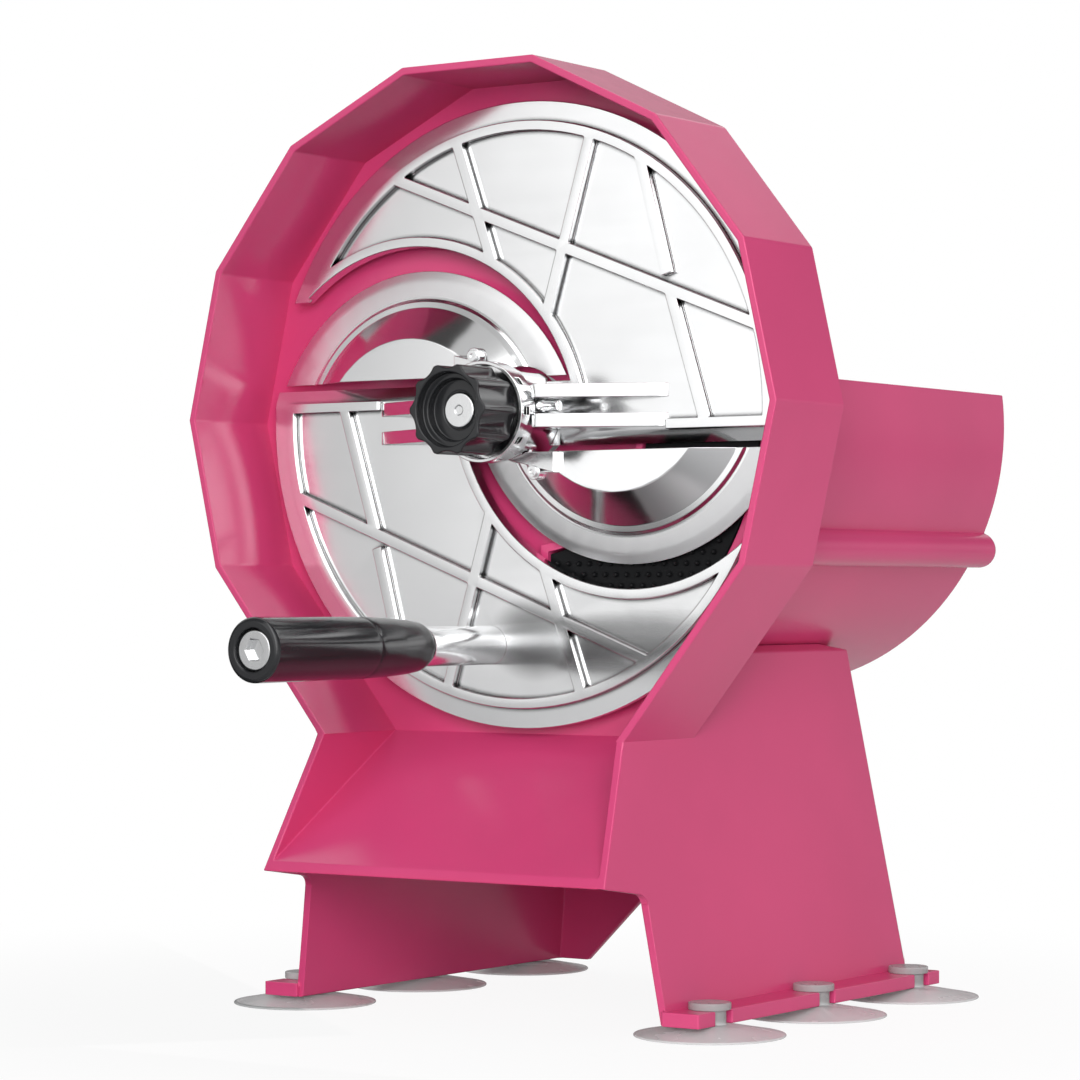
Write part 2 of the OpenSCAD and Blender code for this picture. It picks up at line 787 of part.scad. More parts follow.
module bush(y, turn) {
    translate([0, y, 0]) rotate([0, 0, turn]) difference() {
        union() {
            bar_y(bush_r, -bush_flange_t, bush_l);
            bar_y(bush_flange_r, -bush_flange_t, 0);
        }
        bar_y(spindle_r + fit, -bush_flange_t - over, bush_l + over);
    }
}
module front_bush() { color([0.72, 0.55, 0.3]) placed() bush(bearing_y, 0); }
module rear_bush() { color([0.72, 0.55, 0.3]) placed() bush(bearing_end, 180); }
module rear_cap() {
    front = bearing_end - cap_skirt;
    end = spindle_end + 2 * cap_wall;
    outer = bearing_r + cap_wall;
    color([0.12, 0.12, 0.13]) placed() difference() {
        turned([
            [0, front], [outer, front], [outer, end - cap_wall], [outer - cap_wall, end], [0, end],
        ]);
        bar_y(cap_inner_r, front - over, end - cap_wall);
    }
}

module spindle() {
    thread_r = spindle_front_r;
    thread_end = rear_face + rear_washer_t;
    color("silver") placed() difference() {
        turned([
            [0, spindle_front_y], [spindle_front_r - 1 * gap, spindle_front_y],
            [spindle_front_r, spindle_front_y + gap], [spindle_front_r, carrier_back],
            [spindle_r, carrier_back], [spindle_r, rear_face], [thread_r, rear_face],
            [thread_r, spindle_end], [0, spindle_end],
        ]);
        translate([0, pin_y, -2 * spindle_r]) cylinder(r = pin_r + seat, h = 4 * spindle_r);
    }
}

// The arms reach out through the hub's windows to the flat of each blade
module carrier_arm() {
    side = hub_r + gap;
    slab(carrier_y, carrier_y + carrier_t) difference() {
        union() {
            polygon([
                [-arm_half, 0], [-arm_half, -arm_root], [arm_x, -arm_z], [arm_reach, -arm_low],
                [arm_reach, -chord_z - gap], [arm_half, -chord_z - gap], [arm_half, 0],
            ]);
            translate([blade_screw_x, -blade_screw_z]) circle(r = ear_r);
        }
        intersection() {
            translate([arm_half, -side]) square([side, side]);
            circle(r = side);
        }
    }
}
module blade_screw_places() {
    both_halves() translate([blade_screw_x, 0, -blade_screw_z]) children();
}
module blade_carrier() {
    color([0.82, 0.83, 0.85]) placed() difference() {
        union() {
            bar_y(carrier_r, carrier_y, carrier_back);
            both_halves() carrier_arm();
        }
        bar_y(spindle_front_r + seat, carrier_y - over, carrier_back + over);
        translate([0, pin_y, -2 * carrier_r]) cylinder(r = pin_r + seat, h = 4 * carrier_r);
        blade_screw_places() bar_y(blade_screw_r + seat, carrier_y - over, dish_y + over);
    }
}
module drive_pin() {
    color("silver") placed() translate([0, pin_y, gap - carrier_r])
        cylinder(r = pin_r, h = 2 * (carrier_r - gap));
}

// The tab that runs from the dish's flat to the carrier's arm
module blade_tab() {
    slab(dish_y, dish_y + blade_t) {
        polygon([
            [dish_x, -chord_z], [blade_screw_x - ear_r, -chord_z],
            [blade_screw_x - ear_r, -blade_screw_z], [arm_reach, -arm_low], [dish_x, -arm_low],
        ]);
        translate([blade_screw_x, -blade_screw_z]) circle(r = ear_r);
    }
}
module finished_blade() {
    color([0.86, 0.87, 0.89]) placed() children();
}
module blade_lower() { finished_blade() lower_blade_shape(); }
module blade_upper() { finished_blade() rotate([0, 180, 0]) lower_blade_shape(); }
// One half-moon blade, drawn as the lower one
module lower_blade_shape() {
    far = 2 * blade_r;
    difference() {
        union() {
            intersection() {
                difference() {
                    translate([blade_x, 0, blade_z]) turned([
                        [0, blade_y], [blade_r - bevel_w, blade_y],
                        [blade_r, blade_back - bevel_t], [blade_r, blade_back], [0, blade_back],
                    ]);
                    translate([dish_x, 0, dish_z])
                        bar_y(dish_r - dish_bead, blade_y - over, blade_back + over);
                }
                translate([-far, dish_y - over, -far]) cube([3 * far, far, far - chord_z]);
            }
            intersection() {
                translate([dish_x, 0, dish_z]) turned([
                    [0, dish_y], [dish_flat_r, dish_y],
                    [dish_r - 2 * dish_bead, blade_y - dish_bead],
                    [dish_r, blade_y - dish_bead], [dish_r + dish_bead, blade_y],
                    [dish_r + dish_bead, blade_back], [dish_r - 2 * dish_bead, blade_back],
                    [dish_flat_r - blade_t, dish_y + blade_t], [0, dish_y + blade_t],
                ]);
                translate([-far, dish_y - over, -far]) cube([3 * far, far, far - chord_z]);
            }
            blade_tab();
        }
        bar_y(hub_r + hub_clear, dish_y - over, blade_back + over);
        translate([blade_screw_x, 0, -blade_screw_z])
            bar_y(blade_screw_r + seat, dish_y - over, dish_y + blade_t + over);
    }
}
module blade_screws() {
    tail = dish_y + blade_t;
    color("silver") placed() blade_screw_places() difference() {
        union() {
            bar_y(blade_screw_r, carrier_y, tail);
            bar_y(blade_screw_head_r, carrier_y - blade_screw_head_t, carrier_y);
        }
        bar_y(blade_screw_r * hex_af_share, carrier_y - 2 * blade_screw_head_t,
            carrier_y - blade_screw_head_t / 2);
    }
}
module thrust_washer() {
    color([0.72, 0.55, 0.3]) placed() difference() {
        bar_y(carrier_r, carrier_back, plate_y);
        bar_y(spindle_r + seat, carrier_back - over, plate_y + over);
    }
}
module rear_washer() {
    color("silver") placed() difference() {
        bar_y(bush_r, rear_face, rear_face + rear_washer_t);
        bar_y(spindle_front_r + seat, rear_face - over, rear_face + rear_washer_t + over);
    }
}
module spindle_nut() {
    y = rear_face + rear_washer_t;
    color("silver") placed() difference() {
        translate([0, y, 0]) rotate([-90, 0, 0]) cylinder(r = nut_r, h = nut_t, $fn = 6);
        bar_y(spindle_front_r + seat, y - over, y + nut_t + over);
    }
}

// The spring's wire, as rings of points along a helix between the hub and the carrier
spring_y0 = hub_y + hub_wall + spring_wire / 2 + spring_clear;
spring_y1 = carrier_y - spring_wire / 2 - spring_clear;
spring_steps = spring_turns * spring_rings;
spring_pitch = (spring_y1 - spring_y0) / spring_turns;
echo(spring_gap = spring_pitch - spring_wire);
function spring_point(i, j) = let (
    a = 360 * i / spring_rings,
    b = 360 * j / spring_sides,
    r = spring_r + spring_wire / 2 * cos(b)
) [r * cos(a), spring_y0 + spring_pitch * i / spring_rings + spring_wire / 2 * sin(b), r * sin(a)];
module disc_spring() {
    last = spring_steps * spring_sides;
    points = [for (i = [0:spring_steps], j = [0:spring_sides - 1]) spring_point(i, j)];
    walls = [for (i = [0:spring_steps - 1], j = [0:spring_sides - 1])
        let (k = (j + 1) % spring_sides, a = i * spring_sides, b = a + spring_sides)
        [a + j, a + k, b + k, b + j]];
    ends = [
        [for (j = [spring_sides - 1:-1:0]) j],
        [for (j = [0:spring_sides - 1]) last + j],
    ];
    color([0.7, 0.71, 0.73]) placed() polyhedron(points = points, faces = concat(walls, ends));
}

module crescent_hole(grow) {
    intersection() {
        translate([crescent_x, crescent_z]) circle(r = crescent_r + grow);
        translate([-2 * disc_r, -3 * disc_r]) square([4 * disc_r, 3 * disc_r - straight_z + grow]);
    }
}
// The sharp end past the blunt tip of each half
module past_tip() {
    translate([0, -tip_z]) square([2 * disc_r, tip_z - straight_z]);
}
module disc_area() {
    difference() {
        circle(r = disc_r);
        for (turn = [0, 180]) rotate(turn) {
            crescent_hole(0);
            past_tip();
        }
        circle(r = hub_r + seat);
    }
}
module fin_footprint() {
    for (z = fin_places) translate([0, z]) square([fin_reach, fin_t]);
}
// The straight ribs of the upper half, from their ends in shares of the disc's radius
rib_shares = [
    [[-0.54, 0.80], [0.90, 0.245]],
    [[-0.25, 0.91], [-0.07, 0.40]],
    [[0.28, 0.89], [0.09, 0.25]],
    [[0.46, 0.80], [0.56, 0.42]],
    [[0.57, 0.37], [0.70, -0.05]],
];
module rib(a, b) {
    run = b - a;
    translate(a) rotate(atan2(run[1], run[0])) translate([0, -rib_w / 2])
        square([norm(run), rib_w]);
}
module rib_pattern() {
    bead_r = disc_r - band_w;
    intersection() {
        union() {
            difference() {
                circle(r = bead_r);
                circle(r = bead_r - bead_w);
            }
            for (turn = [0, 180]) rotate(turn) {
                for (r = rib_shares) rib(r[0] * disc_r, r[1] * disc_r);
                difference() {
                    translate([crescent_x, crescent_z]) circle(r = crescent_r + bead_w);
                    translate([-2 * disc_r, lip_w - straight_z + bead_w])
                        square([4 * disc_r, 4 * disc_r]);
                    translate([fin_reach - 2 * disc_r, lip_w - straight_z])
                        square([2 * disc_r, 2 * bead_w]);
                }
            }
        }
        circle(r = bead_r);
        difference() {
            circle(r = disc_r);
            for (turn = [0, 180]) rotate(turn) {
                crescent_hole(0);
                past_tip();
                translate([0, -straight_z]) square([2 * disc_r, lip_w]);
                fin_footprint();
            }
            circle(r = hub_r + seat);
        }
    }
}
module lip_bevel() {
    rise = disc_t - lip_t;
    translate([hub_r, 0, 0]) rotate([90, 0, 90]) linear_extrude(height = 2 * disc_r)
        polygon([
            [disc_y - over, lip_w - straight_z], [disc_y, lip_w - straight_z],
            [disc_y + rise, -straight_z], [disc_y + rise, -straight_z - over],
            [disc_y - over, -straight_z - over],
        ]);
}
module slicing_disc() {
    color([0.84, 0.85, 0.87]) placed() difference() {
        union() {
            slab(disc_y, disc_back) disc_area();
            slab(disc_y - bead_h, disc_y) rib_pattern();
        }
        both_halves() lip_bevel();
        at_handle() bar_y(stem_screw_r + seat, disc_y - over, disc_back + over);
        at_handle() stem_screw_head(seat, over);
    }
}
module hub_fin(z) {
    translate([0, 0, z]) linear_extrude(height = fin_t) polygon([
        [hub_bore_r + over, disc_y], [hub_bore_r + over, ring_back + gap],
        [ring_r + gap, ring_back + gap], [ring_r + gap, disc_y - fin_rise],
        [ring_r + fin_nose, disc_y - fin_rise], [fin_reach - fin_nose, disc_y - bead_h],
        [fin_reach, disc_y],
    ]);
}
// The hub stands on the disc with its nose in front and two fins to each side
module disc_hub() {
    color([0.82, 0.83, 0.85]) placed() difference() {
        union() {
            bar_y(hub_r, hub_y, disc_back);
            bar_y(nose_r, nose_y, hub_y);
            both_halves() for (z = fin_places) hub_fin(z);
        }
        bar_y(spindle_front_r + fit, nose_y - over, disc_back + over);
        bar_y(hub_bore_r, hub_y + hub_wall, disc_back + over);
        translate([-window_half, window_y, -2 * hub_r])
            cube([2 * window_half, disc_back - window_y + over, 4 * hub_r]);
        translate([0, plunger_y, fin_z]) rotate([0, 90, 0])
            cylinder(r = plunger_r + seat, h = plunger_end);
    }
}
module index_ring() {
    color([0.86, 0.87, 0.89]) placed() difference() {
        bar_y(ring_r, nose_y, ring_back);
        bar_y(hub_r + seat, nose_y - over, ring_back + over);
        for (i = [0:ring_windows - 1]) rotate([0, 360 * i / ring_windows, 0])
            translate([hub_r - over, nose_y + window_l / 2, -window_w / 2])
            cube([ring_r, window_l, window_w]);
    }
}
module detent_plunger() {
    color("silver") placed() translate([0, plunger_y, fin_z]) rotate([0, 90, 0]) difference() {
        union() {
            translate([0, 0, plunger_tip]) cylinder(r = plunger_r * 0.8, h = plunger_end - plunger_tip);
            translate([0, 0, plunger_tip]) cylinder(r = plunger_r, h = (plunger_end - plunger_tip) / 2);
        }
        translate([-plunger_r, -gap, plunger_end - over]) cube([2 * plunger_r, 2 * gap, 2 * over]);
    }
}

module at_handle() { translate([-handle_x, 0, -handle_z]) children(); }
module stem_screw_head(grow, past) {
    depth = disc_t * 0.8;
    turned([
        [0, disc_back - depth], [stem_screw_r + grow, disc_back - depth],
        [stem_screw_head_r + grow, disc_back - lip_t / 2], [stem_screw_head_r + grow, disc_back + past],
        [0, disc_back + past],
    ]);
}
module handle_stem() {
    tail = grip_front + grip_socket + grip_screw_t;
    color([0.84, 0.85, 0.87]) placed() at_handle() difference() {
        turned([
            [0, tail], [grip_bar_r, tail], [grip_bar_r, grip_back + gap],
            [stem_r - gap, grip_back + gap], [stem_r, grip_back + 2 * gap], [stem_r, disc_y], [0, disc_y],
        ]);
        bar_y(stem_screw_r + seat, disc_y - stem_screw_l - gap, disc_y + over);
        bar_y(grip_bar_r / 2 + seat, tail - over, tail + 4 * grip_screw_t + gap);
    }
}
module stem_screw() {
    color("silver") placed() at_handle() difference() {
        union() {
            bar_y(stem_screw_r, disc_y - stem_screw_l, disc_back - lip_t / 2);
            stem_screw_head(0, 0);
        }
        translate([0, disc_y + disc_t / 3, 0]) rotate([-90, 0, 0])
            cylinder(r = stem_screw_r * hex_af_share, h = disc_t, $fn = 6);
    }
}
module grip_screw() {
    face = grip_front + grip_socket - grip_screw_t + gap;
    seat_y = grip_front + grip_socket + grip_screw_t;
    color("silver") placed() at_handle() difference() {
        union() {
            turned([
                [0, face], [grip_screw_r - 2 * gap, face], [grip_screw_r, face + 2 * gap],
                [grip_screw_r, grip_front + grip_socket], [0, grip_front + grip_socket],
            ]);
            bar_y(grip_bar_r, face + gap, seat_y);
            bar_y(grip_bar_r / 2, face + gap, seat_y + 4 * grip_screw_t);
        }
        translate([0, face - over, 0]) rotate([-90, 0, 0])
            cylinder(r = grip_screw_r * hex_af_share, h = grip_screw_t * 0.7 + over, $fn = 6);
    }
}
module handle_grip() {
    waist = grip_back - collar_l;
    mouth = grip_screw_r + gap;
    socket = grip_front + grip_socket + gap;
    color([0.1, 0.1, 0.11]) placed() at_handle() turned(concat(
        [[mouth, grip_front], [grip_r - grip_neck, grip_front], [grip_r, grip_front + grip_neck]],
        [[grip_r - grip_groove, waist - grip_neck], [grip_r - 2 * grip_groove, waist]],
        [for (i = [len(collar_shares) - 1:-1:0])
            [grip_r * collar_shares[i][1], grip_back - collar_l * collar_shares[i][0]]],
        [[grip_bore_r, grip_back], [grip_bore_r, socket], [mouth, socket]]
    ));
}

module knob_outline() {
    difference() {
        circle(r = knob_r);
        for (i = [0:knob_flutes - 1]) rotate(360 * (i + 0.5) / knob_flutes)
            translate([knob_r + flute_r - flute_depth, 0]) circle(r = flute_r);
    }
}
module adjusting_knob() {
    step = (knob_cup_r - knob_cap_r) / 3;
    color([0.13, 0.13, 0.14]) placed() difference() {
        slab(knob_front, knob_back) knob_outline();
        bar_y(knob_cup_r, knob_front - over, knob_front + knob_cap_depth / 2);
        bar_y(knob_cup_r - step, knob_front, cap_y - gap);
        bar_y(knob_cap_r + seat, knob_front, insert_y);
        bar_y(insert_r + seat, insert_y, knob_back + over);
    }
}
module knob_insert() {
    color([0.78, 0.62, 0.32]) placed() difference() {
        bar_y(insert_r, insert_y, nose_y);
        bar_y(spindle_front_r + fit, insert_y - over, nose_y + over);
    }
}
module knob_cap() {
    color("silver") placed() difference() {
        turned([
            [0, cap_y - cap_t], [knob_cap_r - cap_t, cap_y - cap_t], [knob_cap_r, cap_y],
            [knob_cap_r, insert_y], [0, insert_y],
        ]);
        bar_y(knob_cap_r / 4, cap_y - 2 * cap_t, cap_y - cap_t / 2);
    }
}

module pusher_shape(inset) {
    kidney(hopper_r - pusher_gap - inset, throat_r + pusher_gap + inset,
        hopper_left + pusher_gap + inset, throat_top - pusher_gap - inset);
}
module pusher_screw_places() {
    for (a = pusher_screw_angles) translate([hand_c * cos(a), 0, hand_c * sin(a)]) children();
}
module pusher_block() {
    color([0.07, 0.07, 0.08]) placed() difference() {
        slab(pusher_y, pusher_back) pusher_shape(0);
        pusher_screw_places() bar_y(screw_r + seat, pusher_back - 2 * screw_bite, pusher_back + over);
        translate([guide_x, 0, guide_z])
            bar_y(guide_rod_r + gap, rod_front - gap, pusher_back + over);
    }
}
module pusher_carriage() {
    inner = hopper_r - 2 * carriage_inset;
    slot = guide_slot_w / 2 - gap;
    color([0.14, 0.14, 0.15]) placed() difference() {
        union() {
            slab(pusher_back, pusher_back + plate_t) pusher_shape(carriage_inset);
            rotate([0, guide_angle, 0]) translate([inner, pusher_back, -slot])
                cube([guide_c - inner, arm_len, 2 * slot]);
            rotate([0, guide_angle, 0]) translate([inner - plate_t, pusher_back, -2 * plate_t])
                cube([hopper_r - gap - pusher_gap - inner + plate_t, arm_len, 4 * plate_t]);
        }
        translate([guide_x, 0, guide_z])
            bar_y(guide_rod_r + seat, pusher_back - over, pusher_back + arm_len + over);
        pusher_screw_places()
            bar_y(screw_r + seat, pusher_back - over, pusher_back + plate_t + over);
    }
}
module guide_rod() {
    color("silver") placed() translate([guide_x, 0, guide_z]) turned([
        [0, rod_front], [guide_rod_r - gap, rod_front], [guide_rod_r, rod_front + gap],
        [guide_rod_r, rod_front + guide_rod_l - gap], [guide_rod_r - gap, rod_front + guide_rod_l],
        [0, rod_front + guide_rod_l],
    ]);
}
module pusher_handle() {
    start = pusher_back + plate_t;
    bar = pusher_back + hand_reach;
    color([0.1, 0.1, 0.11]) placed() translate([hand_x_mid, 0, hand_z_mid]) rotate([0, hand_angle - 90, 0]) {
        for (side = [-1, 1]) translate([side * hand_bar_l * hand_post_share, 0, 0])
            bar_y(post_r, start, bar);
        translate([-hand_bar_l / 2, bar, 0]) rotate([0, 90, 0])
            cylinder(r = hand_bar_r, h = hand_bar_l);
    }
}
module pusher_screws() {
    y = pusher_back + plate_t;
    color("silver") placed() pusher_screw_places()
        pan_screw(screw_r, plate_t + 1.5 * screw_bite, screw_head_r, screw_head_t, y);
}

drum_housing();
back_plate();
base_stand();
feed_hopper();
hopper_screws();
bearing_housing();
bearing_screws();
front_bush();
rear_bush();
rear_cap();
cup_front_left();
cup_middle_left();
cup_rear_left();
cup_front_right();
cup_middle_right();
cup_rear_right();
spindle();
blade_carrier();
drive_pin();
blade_upper();
blade_lower();
blade_screws();
thrust_washer();
rear_washer();
spindle_nut();
disc_spring();
slicing_disc();
disc_hub();
index_ring();
detent_plunger();
handle_stem();
stem_screw();
grip_screw();
adjusting_knob();
knob_insert();
knob_cap();
handle_grip();
pusher_block();
pusher_carriage();
guide_rod();
pusher_handle();
pusher_screws();
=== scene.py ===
"""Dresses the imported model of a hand-cranked rotary slicer and sets the studio around it.

The CAD nodes keep their shapes. Modifiers round their edges, and procedural finishes cover them.
Pieces that need finer forms than the CAD holds are built here and stand for their nodes.
Everything is in metres: +Z up, front towards -Y, origin on the table.
"""

import math

import bmesh
import bpy
from mathutils import Matrix, Vector


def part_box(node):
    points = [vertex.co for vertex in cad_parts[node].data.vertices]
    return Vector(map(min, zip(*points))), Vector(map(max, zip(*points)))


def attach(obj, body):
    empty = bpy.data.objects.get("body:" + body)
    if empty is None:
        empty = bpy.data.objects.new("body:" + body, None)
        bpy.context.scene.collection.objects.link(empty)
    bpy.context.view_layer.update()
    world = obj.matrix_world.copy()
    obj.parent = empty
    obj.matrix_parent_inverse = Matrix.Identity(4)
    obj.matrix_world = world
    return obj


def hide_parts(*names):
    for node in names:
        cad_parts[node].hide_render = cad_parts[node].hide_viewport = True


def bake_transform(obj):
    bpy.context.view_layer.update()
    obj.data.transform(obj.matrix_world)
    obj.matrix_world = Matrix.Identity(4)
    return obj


bl_info = {
    "name": "Rotary slicer",
    "version": (1, 0, 0),
    "blender": (4, 5, 0),
    "location": "View3D > Sidebar > Slicer",
    "description": "Builds the looks of a hand-cranked rotary slicer around its packed model",
    "category": "Object",
}

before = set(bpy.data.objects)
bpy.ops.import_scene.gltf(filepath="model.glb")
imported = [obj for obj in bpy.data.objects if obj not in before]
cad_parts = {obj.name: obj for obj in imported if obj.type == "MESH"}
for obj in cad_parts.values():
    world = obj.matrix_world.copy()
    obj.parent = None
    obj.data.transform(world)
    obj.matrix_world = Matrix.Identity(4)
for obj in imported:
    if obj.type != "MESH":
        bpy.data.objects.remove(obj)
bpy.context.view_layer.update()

MM = 0.001
# Points nearer than this are one point
WELD = 0.01 * MM
# The casting's edges are rounded where they turn by more than the crease and aren't short
CREASE = math.radians(18)
SHORT_EDGE = 2 * MM
# From a blade's centre to its dish's centre, on the lower blade
DISH_SHIFT = (-0.7 * MM, 0, -5.5 * MM)
# Radius of the dish's flat middle, and of its bead, where the blade's ground band begins
DISH_FLAT = 44.5 * MM
DISH_BEAD = 61.2 * MM
# Radius of the inner arc of the pusher's face, and the studs' distance from its outline
PUSHER_INNER = 56.3 * MM
STUD_MARGIN = 4 * MM
# A stud's radii from its foot towards its tip, and how deep the foot is sunk
STUD_RADII = (1.2 * MM, 1.0 * MM, 0.6 * MM)
STUD_ROOT = 0.2 * MM
# Where the picture was taken from: its direction, and its place in metres
CAMERA_AZIMUTH = math.radians(34.334)
CAMERA_ELEVATION = math.radians(-0.832)
CAMERA_PLACE = (0.80555, -1.19275, 0.16799)
# What the lamps point at
STAGE_MIDDLE = (0, 0, 0.2)


def middle(node):
    """The centre of a CAD node's box."""
    low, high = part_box(node)
    return (low + high) / 2


AXLE = middle("spindle")


# Shader tools


class Wire:
    """A shader socket that takes part in Python arithmetic. Each operation adds its Math node."""

    def __init__(self, finish, socket):
        self.finish = finish
        self.socket = socket

    def maths(self, operation, first, second):
        return self.finish.add("ShaderNodeMath", {"operation": operation}, {0: first, 1: second})

    def __add__(self, other):
        return self.maths("ADD", self, other)

    def __radd__(self, other):
        return self.maths("ADD", other, self)

    def __sub__(self, other):
        return self.maths("SUBTRACT", self, other)

    def __rsub__(self, other):
        return self.maths("SUBTRACT", other, self)

    def __mul__(self, other):
        return self.maths("MULTIPLY", self, other)

    def __rmul__(self, other):
        return self.maths("MULTIPLY", other, self)

    def __truediv__(self, other):
        return self.maths("DIVIDE", self, other)

    def __pow__(self, power):
        return self.maths("POWER", self, power)


class Finish:
    """A procedural material or world. Its nodes are added by type, settings and socket values."""

    def __init__(self, name, tree=None):
        self.material = None
        if tree is None:
            self.material = bpy.data.materials.new(name)
            self.material.use_nodes = True
            tree = self.material.node_tree
        self.tree = tree
        tree.nodes.clear()

    def add(self, kind, settings=None, inputs=None, output=0):
        """Adds a node, sets its settings first, then its sockets' values and links."""
        node = self.tree.nodes.new(kind)
        for name, value in (settings or {}).items():
            if name == "stops":
                self.set_stops(node.color_ramp, value)
            else:
                setattr(node, name, value)
        for name, value in (inputs or {}).items():
            if isinstance(value, Wire):
                self.tree.links.new(value.socket, node.inputs[name])
            else:
                node.inputs[name].default_value = value
        return Wire(self, node.outputs[output]) if node.outputs else node

    @staticmethod
    def set_stops(ramp, stops):
        while len(ramp.elements) < len(stops):
            ramp.elements.new(1.0)
        for element, (place, colour) in zip(ramp.elements, stops):
            element.position = place
            element.color = (*colour, 1.0)

    def place(self):
        """The surface point in metres. The CAD nodes sit at the origin of the model's frame."""
        return self.add("ShaderNodeTexCoord", output="Object")

    def part(self, vector, axis):
        return self.add("ShaderNodeSeparateXYZ", inputs={0: vector}, output=axis)

    def noise(self, vector, scale, detail=2.0, roughness=0.5, stretch=(1, 1, 1)):
        """Noise of about 1/scale metres, pulled out along an axis by a stretch below 1."""
        if stretch != (1, 1, 1):
            vector = self.add(
                "ShaderNodeVectorMath", {"operation": "MULTIPLY"}, {0: vector, 1: stretch}
            )
        return self.add(
            "ShaderNodeTexNoise",
            inputs={"Vector": vector, "Scale": scale, "Detail": detail, "Roughness": roughness},
        )

    def ramp(self, value, low, high, start=0.0, end=1.0):
        """A smooth step from start to end while value goes from low to high."""
        return self.add(
            "ShaderNodeMapRange",
            {"interpolation_type": "SMOOTHSTEP", "clamp": True},
            {"Value": value, "From Min": low, "From Max": high, "To Min": start, "To Max": end},
        )

    def mix(self, mask, first, second):
        """Goes from the first colour to the second as the mask rises."""
        return self.add(
            "ShaderNodeMix",
            {"data_type": "RGBA", "clamp_factor": True},
            {0: mask, 6: rgba(first), 7: rgba(second)},
            output=2,
        )

    def bump(self, height, depth, strength=1.0):
        return self.add(
            "ShaderNodeBump", inputs={"Height": height, "Distance": depth, "Strength": strength}
        )

    def dress(self, inputs):
        """Ends the material with the surface shader."""
        surface = self.add("ShaderNodeBsdfPrincipled", inputs=inputs)
        self.add("ShaderNodeOutputMaterial", inputs={"Surface": surface})
        return self.material


def rgba(colour):
    return colour if isinstance(colour, Wire) else (*colour[:3], 1.0)


def shade(colour, factor):
    """A lighter or darker version of a colour."""
    return tuple(min(1.0, part * factor) for part in colour[:3])


# Finishes


def enamel(colour):
    """Glossy stove enamel: a faint orange peel, and clouds of slightly deeper colour."""
    f = Finish("pink_enamel")
    place = f.place()
    cloud = f.ramp(f.noise(place, 9, 3), 0.35, 0.65)
    grain = f.noise(place, 160, 3)
    peel = f.noise(place, 520, 2)
    return f.dress(
        {
            "Base Color": f.mix(cloud, colour, shade(colour, 0.93)),
            "Roughness": 0.20 + 0.08 * grain,
            "Normal": f.bump(peel, 0.00006, 0.35),
            "Specular IOR Level": 0.55,
        }
    )


def polished_alloy(colour, name="polished_alloy", dullness=0.1):
    """Cast alloy after the buffing wheel: bright, with faint streaks, a soft haze, painted shade
    in the crevices and a painted reflection of the crank's stem: a dark oval beside the crank's
    foot."""
    f = Finish(name)
    place = f.place()
    streak = f.noise(place, 220, 3, stretch=(0.06, 1, 1))
    haze = f.noise(place, 22, 3)
    pores = f.noise(place, 900, 2)
    # Painted shade: where ambient occlusion finds little open air, in the crevices at the ribs'
    # feet, the colour goes nearly black
    openness_for_painted_shade = f.add(
        "ShaderNodeAmbientOcclusion",
        {"samples": 6, "only_local": True},
        {"Distance": 2.2 * MM},
        output="AO",
    )
    # The painted reflection of the crank's stem is a dark oval on the right of the crank's foot
    foot = middle("handle_stem")
    across = (f.part(place, "X") - foot.x - 22 * MM) / (24 * MM)
    upright = (f.part(place, "Z") - foot.z - 3 * MM) / (17 * MM)
    painted_reflection = f.ramp(across * across + upright * upright + 0.5 * haze, 1.4, 0.2)
    hazed = f.mix(haze, colour, shade(colour, 0.94))
    with_painted_reflection = f.mix(painted_reflection * 0.9, hazed, shade(colour, 0.2))
    return f.dress(
        {
            "Base Color": f.mix(f.ramp(openness_for_painted_shade, 0.55, 0.92), shade(colour, 0.06), with_painted_reflection),
            "Metallic": 1.0,
            "Roughness": dullness + 0.07 * haze + 0.05 * streak,
            "Normal": f.bump(0.7 * streak + 0.3 * pores, 0.00002, 0.3),
        }
    )


def blade_steel(colour, centre, sector, depth, name):
    """Stamped blade: a satin edge ground to a slight slope, a mirror cone and a bright middle.
    A painted dark reflection darkens the cone by depth round the angle called sector."""
    f = Finish(name)
    place = f.place()
    across = f.part(place, "X") - centre.x
    upright = f.part(place, "Z") - centre.z
    radius = (across * across + upright * upright) ** 0.5
    edge = f.ramp(radius, DISH_BEAD + 0.4 * MM, DISH_BEAD + 1.2 * MM)
    turn = f.add("ShaderNodeMath", {"operation": "ARCTAN2"}, {0: upright, 1: across})
    aside = f.add("ShaderNodeMath", {"operation": "ABSOLUTE"}, {0: turn - sector})
    cone = f.ramp(radius, DISH_FLAT, DISH_FLAT + 0.5 * MM) * (1 - edge)
    # Painted reflection: the cone's colour darkens round the sector, in place of the dark sector
    # that spun metal reflects
    painted_dark_reflection = f.ramp(aside, 0.85, 0.1) * cone * depth
    lines = f.add(
        "ShaderNodeTexNoise",
        {"noise_dimensions": "1D"},
        {"W": radius, "Scale": 4200.0, "Detail": 2.0},
    )
    smear = f.noise(place, 30, 3)
    return f.dress(
        {
            "Base Color": f.mix(painted_dark_reflection, colour, shade(colour, 0.05)),
            "Metallic": 1.0,
            "Roughness": 0.10 + 0.05 * smear + edge * (0.16 + 0.12 * lines),
            "Normal": f.bump(edge * (DISH_BEAD - radius) * 15.0 + 0.006 * lines, MM, 1.0),
        }
    )


def bright_steel(colour, name="bright_steel", dullness=0.12):
    """Plated or turned steel with fine tool marks."""
    f = Finish(name)
    place = f.place()
    marks = f.noise(place, 1400, 2, stretch=(1, 0.2, 1))
    tone = f.noise(place, 40, 2)
    return f.dress(
        {
            "Base Color": f.mix(tone, colour, shade(colour, 0.92)),
            "Metallic": 1.0,
            "Roughness": dullness + 0.10 * marks,
            "Normal": f.bump(marks, 0.00001, 0.3),
        }
    )


